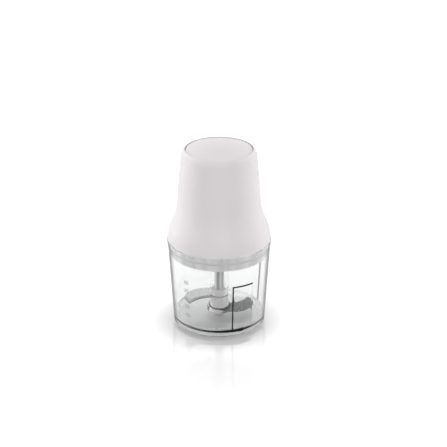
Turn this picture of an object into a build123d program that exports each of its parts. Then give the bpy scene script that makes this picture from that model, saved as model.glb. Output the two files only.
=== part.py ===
from build123d import *

import os
from math import atan, cos, pi, radians, sin, sqrt

# A press-top mini chopper: a clear bowl with a two-level blade unit on a steel pin,
# a coupling lid with a planetary reduction gear, and a bell-shaped motor unit whose
# sprung top is pressed to run it.
# Millimetres, +Z up, origin on the table at the centre of the bowl's foot.
# The front of the object faces -Y, the mains inlet is at the back.

# Clearances
RUNNING = 0.05
SEAT_GAP = 0.3
DRIVE_PLAY = 0.3
SCREW_PLAY = 0.2

# Bowl
BOWL_HEIGHT = 105.0
RIM_RADIUS = 61.0
FOOT_RADIUS = 54.7
BOWL_WALL = 2.4
BEAD_PROUD = 0.5
BEAD_HEIGHT = 3.0
FLOOR_UNDERSIDE = 4.0
FLOOR_THICKNESS = 3.0
FOOT_RING_WIDTH = 7.0
FOOT_ROUND = 1.6
INNER_ROUND = 2.5
BOSS_RADIUS = 7.0
BOSS_HEIGHT = 3.0
BOSS_UNDERSIDE = 1.5
WINDOW_PROUD = 0.8
WINDOW_BOTTOM = 8.5
WINDOW_TOP = 66.0
WINDOW_FROM = -59.0
WINDOW_SPAN = 26.0

# Blade unit
PIN_RADIUS = 3.0
PIN_REACH = 14.0
PIN_ROOT = 1.5
PIN_CHAMFER = 0.8
CORE_RADIUS = 8.0
CORE_LENGTH = 29.7
CORE_WEB = 1.2
STEM_RADIUS = 11.0
STEM_BORE = 7.0
SKIRT_FLARE_RADIUS = 14.5
SKIRT_LIFT = 0.9
SKIRT_EDGE = 3.0
SKIRT_FLARE_HEIGHT = 12.0
BLADE_THICKNESS = 1.2
BLADE_GRIND_DEPTH = 0.9
BLADE_GRIND_WIDTH = 4.0
LOWER_BLADE_LIFT = 3.7
UPPER_BLADE_LIFT = 19.5
BLADE_TURN = 15.0
BLADE_COLLAR_RADIUS = 9.5
BLADE_REACH = 42.5
BLADE_SWEEP = 10.0
BLADE_END_SWEEP = 25.0
BLADE_BELLY_RADIUS = 24.0
BLADE_SPINE_BELLY = 14.0
BLADE_EDGE_BELLY = 13.0

# Splined drive, the same on the motor and on the output shaft
SPLINE_LOBES = 6
SPLINE_ROOT_RADIUS = 4.3
SPLINE_TIP_RADIUS = 5.5
SPLINE_LOBE_WIDTH = 2.4

# Lid
PLUG_DEPTH = 18.0
PLUG_GAP = 1.0
PLUG_WALL = 2.2
PLUG_FLOOR = 2.5
PLUG_ROUND = 1.2
FLANGE_INSET = 0.3
FLANGE_THICKNESS = 1.6
SEAL_HEIGHT = 3.5
SEAL_DEPTH = 1.1
SEAL_DROP = 6.5
RIB_COUNT = 6
RIB_THICKNESS = 2.0
RIB_HEIGHT = 8.0
NOSE_RADIUS = 10.5
NOSE_DROP = 2.0

# Reduction gear
MODULE = 0.75
PRESSURE_ANGLE = 20.0
SUN_TEETH = 15
PLANET_TEETH = 15
RING_TEETH = SUN_TEETH + 2 * PLANET_TEETH
ADDENDUM = 0.6
RING_ADDENDUM = 0.52
DEDENDUM = 0.75
TOOTH_THINNING = 0.05
GEAR_WIDTH = 7.0
PLANET_COUNT = 3
PLANET_PIN_RADIUS = 2.0
CARRIER_RADIUS = 15.2
CARRIER_THICKNESS = 2.2
JOURNAL_RADIUS = 6.0
STUB_RADIUS = 4.0
BUSH_WALL = 2.0
RING_GEAR_WALL = 2.3
POT_WALL = 2.5
COVER_THICKNESS = 2.5
COVER_SCREW_RADIUS = 1.3
COVER_SCREW_COUNT = 3
COVER_EAR_RADIUS = 3.2
SUN_JOURNAL_RADIUS = 7.0
SUN_STUB_RADIUS = 3.5
SUN_STUB_LENGTH = 3.4
COUPLING_RADIUS = 9.0
COUPLING_SOCKET_DEPTH = 7.0
DOG_WEB = 1.2

# Motor housing
HOUSING_HEIGHT = 110.0
HOUSING_WALL = 2.6
SKIRT_PROUD = 0.1
NECK_INSET = 4.6
NECK_LIFT = 19.9
FLARE_DEPTH = 7.3
WAIST_LIFT = 47.4
SHOULDER_RADIUS = 44.3
SHOULDER_DROP = 7.6
SHOULDER_INSET = 4.9
LIP_FLAT = 1.0
LIP_THICKNESS = 3.5
VENT_COUNT = 7
VENT_STEP = 7.0
VENT_WIDTH = 2.2
VENT_HEIGHT = 14.0
VENT_LIFT = 72.0
BACK = 90.0

# Mains inlet gland
INLET_LIFT = 40.0
INLET_BORE = 3.5
INLET_NECK = 5.8
INLET_FLANGE_RADIUS = 8.0
INLET_FLANGE = 2.5
INLET_PAD_RADIUS = 9.5
INLET_PAD_PROUD = 4.0
INLET_LENGTH = 10.5

# Base plate and motor brackets
PLATE_RECESS = 1.4
PLATE_THICKNESS = 2.5
PLATE_EDGE_GAP = 0.8
PLATE_HOLE_RADIUS = 12.0
PLATE_VENTS = 12
PLATE_BOSS_RADIUS = 4.0
PLATE_BOSS_INSET = 2.6
PLATE_BOSS_HEIGHT = 21.0
BRACKET_LIFT = 10.5
BRACKET_THICKNESS = 4.0
BRACKET_ARM_WIDTH = 10.0
BRACKET_BOSS_INSET = 0.3
BRACKET_BOSS_RADIUS = 4.2
SCREW_RADIUS = 1.7
SCREW_HEAD_RADIUS = 3.2
SCREW_HEAD = 1.2
SCREW_LENGTH = 10.0
LEG_CIRCLE_RADIUS = 30.0
LEG_RADIUS = 3.8
LONG_SCREW_RADIUS = 1.5
BEARING_WALL = 3.5
BEARING_LENGTH = 7.0
BEARING_BOSS_WALL = 3.0
UPPER_PLATE_RADIUS = 36.0
UPPER_PLATE_THICKNESS = 3.0
UPPER_BOSS_HEIGHT = 8.0
UPPER_BOSS_WEB = 1.5

# Motor
SHAFT_RADIUS = 3.0
FAN_RADIUS = 24.5
FAN_DISC = 1.3
FAN_HEIGHT = 7.0
FAN_HUB_RADIUS = 6.5
FAN_BLADES = 8
FAN_BLADE_THICKNESS = 1.4
FAN_GAP = 2.0
FAN_TO_STATOR = 6.0
STATOR_WIDTH = 58.0
STATOR_DEPTH = 54.0
STATOR_CORNER = 9.0
AIR_GAP = 0.6
ARMATURE_RADIUS = 16.0
ARMATURE_SLOTS = 12
SLOT_WIDTH = 2.4
SLOT_DEPTH = 5.0
WINDING_RADIUS = 12.5
WINDING_HEIGHT = 4.5
WINDING_ROUND = 1.8
POLE_NECK_HALF = 9.0
COIL_THICKNESS = 5.0
COIL_DEPTH = 8.0
COIL_OVERHANG = 4.5
COIL_PLAY = 0.2
POLE_SHOE = 1.4
POLE_GAP_HALF = 7.0
POLE_GAP_DEPTH = 4.0
COMMUTATOR_RADIUS = 10.0
COMMUTATOR_LENGTH = 9.0
COMMUTATOR_GAP = 2.0
COMMUTATOR_SLOT = 0.6
COMMUTATOR_SLOT_DEPTH = 0.9
BRUSH_WIDTH = 5.0
BRUSH_HEIGHT = 5.0
BRUSH_LENGTH = 11.0
BRUSH_HOLDER_WALL = 1.5
BRUSH_HOLDER_LENGTH = 14.0
BRUSH_HOLDER_GAP = 1.2
UPPER_PLATE_GAP = 2.5

# Push cap, switch and return spring
CAP_GAP = 0.5
CAP_WALL = 2.4
CAP_CROWN = 5.4
CAP_EDGE_DROP = 0.6
CAP_EDGE_ROUND = 1.2
CAP_SKIRT = 8.2
CAP_TRAVEL = 4.0
HOOK_PROUD = 1.5
HOOK_SPAN = 40.0
HOOK_COUNT = 3
SPRING_RADIUS = 6.8
SPRING_WIRE = 0.6
SPRING_TURNS = 4
SPRING_LENGTH = 14.0
SPRING_CUP_WALL = 2.0
SPRING_CUP_DROP = 1.65
SWITCH_OFFSET = 22.0
SWITCH_LENGTH = 19.0
SWITCH_WIDTH = 10.0
SWITCH_HEIGHT = 12.0
BUTTON_RADIUS = 2.2
BUTTON_PROUD = 5.5
BUTTON_DEPTH = 2.0
POST_RADIUS = 3.2
CAPACITOR_LENGTH = 14.0
CAPACITOR_WIDTH = 11.0
CAPACITOR_HEIGHT = 11.0
CAPACITOR_OFFSET = 25.0
CAPACITOR_ROUND = 2.0

# Radii that follow from the sizes above
FLANGE_RADIUS = RIM_RADIUS - FLANGE_INSET
SKIRT_RADIUS = FLANGE_RADIUS + SKIRT_PROUD
NECK_RADIUS = SKIRT_RADIUS - NECK_INSET
WAIST_RADIUS = NECK_RADIUS - FLARE_DEPTH
LIP_RADIUS = SHOULDER_RADIUS - SHOULDER_INSET
CAP_RADIUS = LIP_RADIUS - CAP_GAP
INLET_PAD_FACE = WAIST_RADIUS + INLET_PAD_PROUD
PLATE_RADIUS = SKIRT_RADIUS - HOUSING_WALL - PLATE_EDGE_GAP
PLATE_BOSS_CIRCLE = NECK_RADIUS - HOUSING_WALL - PLATE_BOSS_INSET
BRACKET_BOSS_CIRCLE = WAIST_RADIUS - HOUSING_WALL - BRACKET_BOSS_INSET
SUN_PITCH = MODULE * SUN_TEETH / 2
PLANET_PITCH = MODULE * PLANET_TEETH / 2
RING_PITCH = MODULE * RING_TEETH / 2
PLANET_ORBIT = SUN_PITCH + PLANET_PITCH
BUSH_RADIUS = JOURNAL_RADIUS + RUNNING + BUSH_WALL
POT_BORE = RING_PITCH + DEDENDUM + RING_GEAR_WALL
POT_RADIUS = POT_BORE + POT_WALL
COVER_SCREW_CIRCLE = POT_RADIUS + COVER_SCREW_RADIUS
BEARING_RADIUS = SHAFT_RADIUS + RUNNING + BEARING_WALL
BEARING_BOSS_RADIUS = BEARING_RADIUS + BEARING_BOSS_WALL
STATOR_BORE = ARMATURE_RADIUS + AIR_GAP
COIL_INSIDE = STATOR_BORE + POLE_SHOE
SPRING_CUP_RADIUS = SPRING_RADIUS + SPRING_WIRE + SPRING_CUP_WALL
SPRING_CUP_BORE = SPRING_RADIUS - SPRING_WIRE - SPRING_CUP_WALL

# Heights that follow from the sizes above
FLOOR_TOP = FLOOR_UNDERSIDE + FLOOR_THICKNESS
BOSS_TOP = FLOOR_TOP + BOSS_HEIGHT
PIN_BOTTOM = BOSS_UNDERSIDE + PIN_ROOT
PIN_TOP = BOSS_TOP + PIN_REACH
CORE_BOTTOM = BOSS_TOP + SEAT_GAP
CORE_TOP = CORE_BOTTOM + CORE_LENGTH
CORE_BORE_TOP = PIN_TOP + SEAT_GAP
SOCKET_FLOOR = CORE_BORE_TOP + CORE_WEB
OUTPUT_BOTTOM = SOCKET_FLOOR + SEAT_GAP
SKIRT_BOTTOM = CORE_BOTTOM + SKIRT_LIFT
LOWER_BLADE_Z = CORE_BOTTOM + LOWER_BLADE_LIFT
UPPER_BLADE_Z = CORE_BOTTOM + UPPER_BLADE_LIFT

LID_BOTTOM = BOWL_HEIGHT - PLUG_DEPTH
LID_FLOOR = LID_BOTTOM + PLUG_FLOOR
LID_TOP = BOWL_HEIGHT + FLANGE_THICKNESS
NOSE_BOTTOM = LID_BOTTOM - NOSE_DROP
STEM_TOP = NOSE_BOTTOM - 2 * SEAT_GAP
SEAL_TOP = BOWL_HEIGHT - SEAL_DROP
SEAL_BOTTOM = SEAL_TOP - SEAL_HEIGHT
BUSH_TOP = LID_FLOOR + SEAT_GAP
CARRIER_BOTTOM = BUSH_TOP + SEAT_GAP
CARRIER_TOP = CARRIER_BOTTOM + CARRIER_THICKNESS
GEAR_BOTTOM = CARRIER_TOP + SEAT_GAP
GEAR_TOP = GEAR_BOTTOM + GEAR_WIDTH
COVER_BOTTOM = GEAR_TOP + 2 * SEAT_GAP
COVER_TOP = COVER_BOTTOM + COVER_THICKNESS
COUPLING_BOTTOM = COVER_TOP + SEAT_GAP
COUPLING_FLOOR = COUPLING_BOTTOM + SUN_STUB_LENGTH
COUPLING_TOP = COUPLING_FLOOR + COUPLING_SOCKET_DEPTH

HOUSING_BOTTOM = LID_TOP
HOUSING_TOP = HOUSING_BOTTOM + HOUSING_HEIGHT
LIP_UNDERSIDE = HOUSING_TOP - LIP_THICKNESS
SHOULDER_Z = HOUSING_TOP - SHOULDER_DROP
NECK_Z = HOUSING_BOTTOM + NECK_LIFT
WAIST_Z = HOUSING_BOTTOM + WAIST_LIFT
INLET_Z = HOUSING_BOTTOM + INLET_LIFT
VENT_Z = HOUSING_BOTTOM + VENT_LIFT
PLATE_BOTTOM = HOUSING_BOTTOM + PLATE_RECESS
PLATE_TOP = PLATE_BOTTOM + PLATE_THICKNESS
BRACKET_BOTTOM = PLATE_TOP + BRACKET_LIFT
BRACKET_TOP = BRACKET_BOTTOM + BRACKET_THICKNESS
DOG_BOTTOM = COUPLING_FLOOR + SEAT_GAP
DOG_TOP = BRACKET_BOTTOM - SCREW_HEAD - SEAT_GAP
LOWER_BEARING_TOP = BRACKET_BOTTOM + BEARING_LENGTH
FAN_BOTTOM = LOWER_BEARING_TOP + FAN_GAP
FAN_TOP = FAN_BOTTOM + FAN_HEIGHT
STATOR_BOTTOM = FAN_TOP + FAN_TO_STATOR

# The cap and the upper end of the motor hang from the housing's top, and the stator
# stack takes the height that is left
CAP_EDGE_Z = HOUSING_TOP - CAP_EDGE_DROP
CAP_TOP = CAP_EDGE_Z + CAP_CROWN
CAP_BOTTOM = CAP_EDGE_Z - CAP_SKIRT
HOOK_TOP = LIP_UNDERSIDE - SEAT_GAP
SPRING_CUP_BOTTOM = CAP_EDGE_Z - SPRING_CUP_DROP
SPRING_TOP = SPRING_CUP_BOTTOM - SEAT_GAP
SPRING_BOTTOM = SPRING_TOP - SPRING_LENGTH
UPPER_BOSS_TOP = SPRING_BOTTOM - RUNNING
UPPER_BEARING_TOP = UPPER_BOSS_TOP - UPPER_BOSS_WEB
UPPER_PLATE_TOP = UPPER_BOSS_TOP - UPPER_BOSS_HEIGHT
UPPER_PLATE_BOTTOM = UPPER_PLATE_TOP - UPPER_PLATE_THICKNESS
COMMUTATOR_TOP = UPPER_PLATE_BOTTOM - UPPER_PLATE_GAP
COMMUTATOR_BOTTOM = COMMUTATOR_TOP - COMMUTATOR_LENGTH
WINDING_TOP = COMMUTATOR_BOTTOM - COMMUTATOR_GAP
STATOR_TOP = WINDING_TOP - WINDING_HEIGHT
STATOR_STACK = STATOR_TOP - STATOR_BOTTOM
SHAFT_TOP = UPPER_BEARING_TOP - SEAT_GAP
SHAFT_BOTTOM = DOG_BOTTOM + DOG_WEB
BRUSH_Z = (COMMUTATOR_BOTTOM + COMMUTATOR_TOP) / 2
SWITCH_TOP = UPPER_PLATE_TOP + SWITCH_HEIGHT
BUTTON_TOP = SWITCH_TOP + BUTTON_PROUD

UPWARD = (Align.CENTER, Align.CENTER, Align.MIN)


def bowl_outside(height):
    """Radius of the bowl's outer wall at a height."""
    return FOOT_RADIUS + (RIM_RADIUS - FOOT_RADIUS) * height / BOWL_HEIGHT


def bowl_inside(height):
    """Radius of the bowl's inner wall at a height."""
    return bowl_outside(height) - BOWL_WALL


def plug_radius(height):
    """Radius of the lid's plug, which follows the bowl's inner wall."""
    return bowl_inside(height) - PLUG_GAP


def polar(radius, degrees):
    """A point on a circle about the origin."""
    return (radius * cos(radians(degrees)), radius * sin(radians(degrees)))


def upright(degrees):
    """A plane through Z whose sketch X points outwards at the given angle."""
    outward = (*polar(1, degrees), 0)
    sideways = (*polar(1, degrees - 90), 0)
    return Plane(origin=(0, 0, 0), x_dir=outward, z_dir=sideways)


def turned(*points, plane=Plane.XZ):
    """A closed profile of radius and height, for turning about Z."""
    with BuildSketch(plane) as profile:
        with BuildLine():
            Polyline(*points, close=True)
        make_face()
    return profile.sketch


def ring_section(inner, outer, bottom, top):
    """The profile of a plain ring or tube about Z."""
    return turned((inner, bottom), (outer, bottom), (outer, top), (inner, top))


def ring_edges(builder, radius, height):
    """The circular edges of a part at a radius and height."""
    circles = builder.edges().filter_by(GeomType.CIRCLE)
    return [
        edge
        for edge in circles
        if abs(edge.radius - radius) < RUNNING and abs(edge.arc_center.Z - height) < RUNNING
    ]


def spline_section(height, play):
    """The lobed section of the drive, grown by the play for a socket."""
    with BuildSketch(Plane.XY.offset(height)) as section:
        Circle(SPLINE_ROOT_RADIUS + play)
        with PolarLocations(0, SPLINE_LOBES):
            Rectangle(
                SPLINE_TIP_RADIUS + play,
                SPLINE_LOBE_WIDTH + 2 * play,
                align=(Align.MIN, Align.CENTER),
            )
    return section.sketch


def involute(radius, base):
    """Polar angle in degrees of an involute at a radius, zero on its base circle."""
    roll = sqrt(max((radius / base) ** 2 - 1, 0))
    return (roll - atan(roll)) * 180 / pi


def toothed_section(plane, teeth, root, tip, thinning):
    """A gear outline with involute flanks, one tooth centred on the plane's X axis."""
    pitch = MODULE * teeth / 2
    base = pitch * cos(radians(PRESSURE_ANGLE))
    middle = (max(root, base) + tip) / 2
    half_pitch = (pi * MODULE / 2 - thinning) / 2 / pitch * 180 / pi

    def half(radius):
        return half_pitch + involute(pitch, base) - involute(max(radius, base), base)

    with BuildSketch(plane) as outline:
        with BuildLine():
            for tooth in range(teeth):
                centre = tooth * 360 / teeth
                following = centre + 360 / teeth
                rise = ThreePointArc(
                    polar(root, centre - half(root)),
                    polar(middle, centre - half(middle)),
                    polar(tip, centre - half(tip)),
                )
                crest = Line(rise @ 1, polar(tip, centre + half(tip)))
                fall = ThreePointArc(
                    crest @ 1,
                    polar(middle, centre + half(middle)),
                    polar(root, centre + half(root)),
                )
                Line(fall @ 1, polar(root, following - half(root)))
        make_face()
    return outline.sketch


def blade_section(height, turn):
    """A sickle blade with its root ring, in plan."""
    point = (sqrt(BLADE_REACH**2 - BLADE_SWEEP**2), BLADE_SWEEP)
    corner = (sqrt(BLADE_REACH**2 - BLADE_END_SWEEP**2), BLADE_END_SWEEP)
    heel = polar(BLADE_COLLAR_RADIUS, -90)
    toe = polar(BLADE_COLLAR_RADIUS, 90)
    with BuildSketch(Plane.XY.offset(height).rotated((0, 0, turn))) as section:
        with BuildLine():
            spine = ThreePointArc(heel, (BLADE_BELLY_RADIUS, -BLADE_SPINE_BELLY), point)
            end = RadiusArc(spine @ 1, corner, -BLADE_REACH)
            edge = ThreePointArc(end @ 1, (BLADE_BELLY_RADIUS, BLADE_EDGE_BELLY), toe)
            Line(edge @ 1, spine @ 0)
        make_face()
        Circle(BLADE_COLLAR_RADIUS)
        Circle(CORE_RADIUS, mode=Mode.SUBTRACT)
    return section.sketch


def bell_section(inset):
    """Half the bell of the motor housing, moved in by a wall thickness."""
    with BuildSketch(Plane.XZ) as section:
        with BuildLine():
            skirt = TangentArc(
                (SKIRT_RADIUS - inset, HOUSING_BOTTOM),
                (NECK_RADIUS - inset, NECK_Z),
                tangent=(0, 1),
            )
            flare = TangentArc(skirt @ 1, (WAIST_RADIUS - inset, WAIST_Z), tangent=skirt % 1)
            grip = TangentArc(flare @ 1, (SHOULDER_RADIUS - inset, SHOULDER_Z), tangent=flare % 1)
            crown = (LIP_RADIUS + LIP_FLAT - inset, HOUSING_TOP - inset)
            shoulder = TangentArc(grip @ 1, crown, tangent=grip % 1)
            Polyline(shoulder @ 1, (0, HOUSING_TOP - inset), (0, HOUSING_BOTTOM), skirt @ 0)
        make_face()
    return section.sketch


def dome_section(radius, edge, crown, bottom):
    """Half of a domed block: a flat arc on top, a straight side, a flat underside."""
    with BuildSketch(Plane.XZ) as section:
        with BuildLine():
            dome = TangentArc((0, crown), (radius, edge), tangent=(1, 0))
            Polyline(dome @ 1, (radius, bottom), (0, bottom), dome @ 0)
        make_face()
    return section.sketch


def helix_arcs(radius, bottom, rise, turns):
    """A helix as pairs of tangent arcs, one pair for each quarter turn."""
    quarters = 4 * turns
    slope = rise / (turns * 2 * pi)

    def place(quarter):
        return Vector(*polar(radius, 90 * quarter), bottom + rise * quarter / quarters)

    def heading(quarter):
        along = polar(radius, 90 * quarter + 90)
        return Vector(*along, slope).normalized()

    with BuildLine() as path:
        for quarter in range(quarters):
            start, finish = place(quarter), place(quarter + 1)
            leaving, arriving = heading(quarter), heading(quarter + 1)
            chord = finish - start
            spread = chord.dot(leaving + arriving)
            bend = 2 * (1 - leaving.dot(arriving))
            reach = (sqrt(spread**2 + bend * chord.dot(chord)) - spread) / bend
            meeting = (start + finish + (leaving - arriving) * reach) * 0.5
            first = TangentArc(start, meeting, tangent=leaving)
            TangentArc(first @ 1, finish, tangent=first % 1)
    return path.line


def save(builder, name):
    """Label a finished piece and write it under its name."""
    builder.part.label = name
    export_step(builder.part, f"parts/{name}.step")


os.makedirs("parts", exist_ok=True)

# Bowl: thick base on a foot ring, boss for the blade pin, tapered wall and rim bead
with BuildPart() as bowl:
    revolve(
        turned(
            (0, BOSS_UNDERSIDE),
            (BOSS_RADIUS, BOSS_UNDERSIDE),
            (BOSS_RADIUS, FLOOR_UNDERSIDE),
            (FOOT_RADIUS - FOOT_RING_WIDTH, FLOOR_UNDERSIDE),
            (FOOT_RADIUS - FOOT_RING_WIDTH, 0),
            (FOOT_RADIUS, 0),
            (bowl_outside(BOWL_HEIGHT - BEAD_HEIGHT), BOWL_HEIGHT - BEAD_HEIGHT),
            (RIM_RADIUS + BEAD_PROUD, BOWL_HEIGHT - BEAD_HEIGHT + BEAD_PROUD),
            (RIM_RADIUS + BEAD_PROUD, BOWL_HEIGHT),
            (bowl_inside(BOWL_HEIGHT), BOWL_HEIGHT),
            (bowl_inside(FLOOR_TOP), FLOOR_TOP),
            (BOSS_RADIUS, FLOOR_TOP),
            (BOSS_RADIUS, BOSS_TOP),
            (PIN_RADIUS, BOSS_TOP),
            (PIN_RADIUS, PIN_BOTTOM),
            (0, PIN_BOTTOM),
        ),
        axis=Axis.Z,
    )
    fillet(ring_edges(bowl, bowl_inside(FLOOR_TOP), FLOOR_TOP), INNER_ROUND)
    fillet(ring_edges(bowl, FOOT_RADIUS, 0), FOOT_ROUND)
    window = turned(
        (bowl_inside(WINDOW_BOTTOM) + BOWL_WALL / 2, WINDOW_BOTTOM),
        (bowl_outside(WINDOW_BOTTOM) + WINDOW_PROUD, WINDOW_BOTTOM),
        (bowl_outside(WINDOW_TOP) + WINDOW_PROUD, WINDOW_TOP),
        (bowl_inside(WINDOW_TOP) + BOWL_WALL / 2, WINDOW_TOP),
        plane=upright(WINDOW_FROM),
    )
    revolve(window, axis=Axis.Z, revolution_arc=WINDOW_SPAN)
save(bowl, "bowl")

# Steel pin that the blade unit turns on
with BuildPart() as blade_pin:
    revolve(
        turned(
            (0, PIN_BOTTOM),
            (PIN_RADIUS, PIN_BOTTOM),
            (PIN_RADIUS, PIN_TOP - PIN_CHAMFER),
            (PIN_RADIUS - PIN_CHAMFER, PIN_TOP),
            (0, PIN_TOP),
        ),
        axis=Axis.Z,
    )
save(blade_pin, "blade_pin")

# Grey core of the blade unit: pin bore below, lobed drive socket above
with BuildPart() as hub_core:
    revolve(
        turned(
            (PIN_RADIUS + RUNNING, CORE_BOTTOM),
            (CORE_RADIUS, CORE_BOTTOM),
            (CORE_RADIUS, CORE_TOP),
            (0, CORE_TOP),
            (0, CORE_BORE_TOP),
            (PIN_RADIUS + RUNNING, CORE_BORE_TOP),
        ),
        axis=Axis.Z,
    )
    extrude(
        spline_section(SOCKET_FLOOR, DRIVE_PLAY),
        amount=CORE_TOP - SOCKET_FLOOR,
        mode=Mode.SUBTRACT,
    )
save(hub_core, "hub_core")

# Clear stem round the core, with a flared skirt and slots that the blades pass through
with BuildPart() as blade_hub:
    revolve(
        turned(
            (CORE_RADIUS, SKIRT_BOTTOM),
            (SKIRT_FLARE_RADIUS, SKIRT_BOTTOM),
            (SKIRT_FLARE_RADIUS, SKIRT_BOTTOM + SKIRT_EDGE),
            (STEM_RADIUS, SKIRT_BOTTOM + SKIRT_FLARE_HEIGHT),
            (STEM_RADIUS, STEM_TOP),
            (STEM_BORE, STEM_TOP),
            (STEM_BORE, CORE_TOP),
            (CORE_RADIUS, CORE_TOP),
        ),
        axis=Axis.Z,
    )
    for blade_z, blade_turn in ((LOWER_BLADE_Z, BLADE_TURN), (UPPER_BLADE_Z, BLADE_TURN + 180)):
        extrude(
            blade_section(blade_z, blade_turn),
            amount=BLADE_THICKNESS,
            mode=Mode.SUBTRACT,
        )
save(blade_hub, "blade_hub")

# Stainless sickle blades on two levels, half a turn apart, ground on the hollow edge
for blade_name, blade_z, blade_turn in (
    ("lower_blade", LOWER_BLADE_Z, BLADE_TURN),
    ("upper_blade", UPPER_BLADE_Z, BLADE_TURN + 180),
):
    with BuildPart() as blade:
        extrude(blade_section(blade_z, blade_turn), amount=BLADE_THICKNESS)
        blade_top = blade.faces().sort_by(Axis.Z)[-1]
        hollow_edge = blade_top.outer_wire().edges().sort_by(SortBy.LENGTH)[-2]
        chamfer(hollow_edge, BLADE_GRIND_WIDTH, BLADE_GRIND_DEPTH, reference=blade_top)
    save(blade, blade_name)

# Lid: a cup that plugs the bowl, with a flange on the rim, a pot for the gear and ribs
with BuildPart() as lid:
    revolve(
        turned(
            (BUSH_RADIUS, NOSE_BOTTOM),
            (NOSE_RADIUS, NOSE_BOTTOM),
            (NOSE_RADIUS, LID_BOTTOM),
            (plug_radius(LID_BOTTOM), LID_BOTTOM),
            (plug_radius(SEAL_BOTTOM), SEAL_BOTTOM),
            (plug_radius(SEAL_BOTTOM) - SEAL_DEPTH, SEAL_BOTTOM),
            (plug_radius(SEAL_TOP) - SEAL_DEPTH, SEAL_TOP),
            (plug_radius(SEAL_TOP), SEAL_TOP),
            (plug_radius(BOWL_HEIGHT), BOWL_HEIGHT),
            (FLANGE_RADIUS, BOWL_HEIGHT),
            (FLANGE_RADIUS, LID_TOP),
            (plug_radius(LID_TOP) - PLUG_WALL, LID_TOP),
            (plug_radius(LID_FLOOR) - PLUG_WALL, LID_FLOOR),
            (POT_RADIUS, LID_FLOOR),
            (POT_RADIUS, COVER_BOTTOM),
            (POT_BORE, COVER_BOTTOM),
            (POT_BORE, LID_FLOOR),
            (BUSH_RADIUS, LID_FLOOR),
        ),
        axis=Axis.Z,
    )
    fillet(ring_edges(lid, plug_radius(LID_BOTTOM), LID_BOTTOM), PLUG_ROUND)
    rib_length = plug_radius(LID_FLOOR) - PLUG_WALL / 2 - POT_RADIUS + POT_WALL / 2
    with Locations((0, 0, LID_FLOOR)):
        with PolarLocations(POT_RADIUS - POT_WALL / 2, RIB_COUNT, start_angle=180 / RIB_COUNT):
            Box(rib_length, RIB_THICKNESS, RIB_HEIGHT, align=(Align.MIN, Align.CENTER, Align.MIN))
        with PolarLocations(COVER_SCREW_CIRCLE, COVER_SCREW_COUNT):
            Cylinder(COVER_EAR_RADIUS, COVER_BOTTOM - LID_FLOOR, align=UPWARD)
            Cylinder(
                COVER_SCREW_RADIUS,
                COVER_BOTTOM - LID_FLOOR,
                align=UPWARD,
                mode=Mode.SUBTRACT,
            )
    revolve(ring_section(0, POT_BORE, LID_FLOOR, COVER_BOTTOM), axis=Axis.Z, mode=Mode.SUBTRACT)
save(lid, "lid")

# Rubber ring in the plug's groove
with BuildPart() as lid_seal:
    seal_middle = (SEAL_BOTTOM + SEAL_TOP) / 2
    revolve(
        turned(
            (plug_radius(SEAL_BOTTOM) - SEAL_DEPTH, SEAL_BOTTOM),
            (plug_radius(SEAL_BOTTOM), SEAL_BOTTOM),
            (bowl_inside(seal_middle) - SEAT_GAP, seal_middle),
            (plug_radius(SEAL_TOP), SEAL_TOP),
            (plug_radius(SEAL_TOP) - SEAL_DEPTH, SEAL_TOP),
        ),
        axis=Axis.Z,
    )
save(lid_seal, "lid_seal")

# Lip seal and bronze bush of the output shaft
with BuildPart() as shaft_seal:
    lip_radius = JOURNAL_RADIUS + SEAT_GAP
    revolve(ring_section(lip_radius, BUSH_RADIUS, NOSE_BOTTOM, LID_BOTTOM), axis=Axis.Z)
save(shaft_seal, "shaft_seal")

with BuildPart() as output_bush:
    bush_bore = JOURNAL_RADIUS + RUNNING
    revolve(ring_section(bush_bore, BUSH_RADIUS, LID_BOTTOM, BUSH_TOP), axis=Axis.Z)
save(output_bush, "output_bush")

# Internal gear, pressed in the pot
with BuildPart() as ring_gear:
    revolve(ring_section(0, POT_BORE, LID_FLOOR, GEAR_TOP), axis=Axis.Z)
    extrude(
        toothed_section(
            Plane.XY.offset(LID_FLOOR),
            RING_TEETH,
            RING_PITCH - RING_ADDENDUM,
            RING_PITCH + DEDENDUM,
            -TOOTH_THINNING,
        ),
        amount=GEAR_TOP - LID_FLOOR,
        mode=Mode.SUBTRACT,
    )
save(ring_gear, "ring_gear")

# Sun gear with its journal and the stub that carries the input coupling
with BuildPart() as sun_gear:
    extrude(
        toothed_section(
            Plane.XY.offset(GEAR_BOTTOM),
            SUN_TEETH,
            SUN_PITCH - DEDENDUM,
            SUN_PITCH + ADDENDUM,
            TOOTH_THINNING,
        ),
        amount=GEAR_WIDTH,
    )
    with Locations((0, 0, GEAR_TOP)):
        Cylinder(SUN_JOURNAL_RADIUS, COUPLING_BOTTOM - GEAR_TOP, align=UPWARD)
    with Locations((0, 0, COUPLING_BOTTOM)):
        Cylinder(SUN_STUB_RADIUS, SUN_STUB_LENGTH, align=UPWARD)
save(sun_gear, "sun_gear")

# Socket that the motor's dog drops into
with BuildPart() as input_coupling:
    revolve(
        turned(
            (SUN_STUB_RADIUS, COUPLING_BOTTOM),
            (COUPLING_RADIUS, COUPLING_BOTTOM),
            (COUPLING_RADIUS, COUPLING_TOP),
            (0, COUPLING_TOP),
            (0, COUPLING_FLOOR),
            (SUN_STUB_RADIUS, COUPLING_FLOOR),
        ),
        axis=Axis.Z,
    )
    extrude(
        spline_section(COUPLING_FLOOR, DRIVE_PLAY),
        amount=COUPLING_SOCKET_DEPTH,
        mode=Mode.SUBTRACT,
    )
save(input_coupling, "input_coupling")

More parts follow.
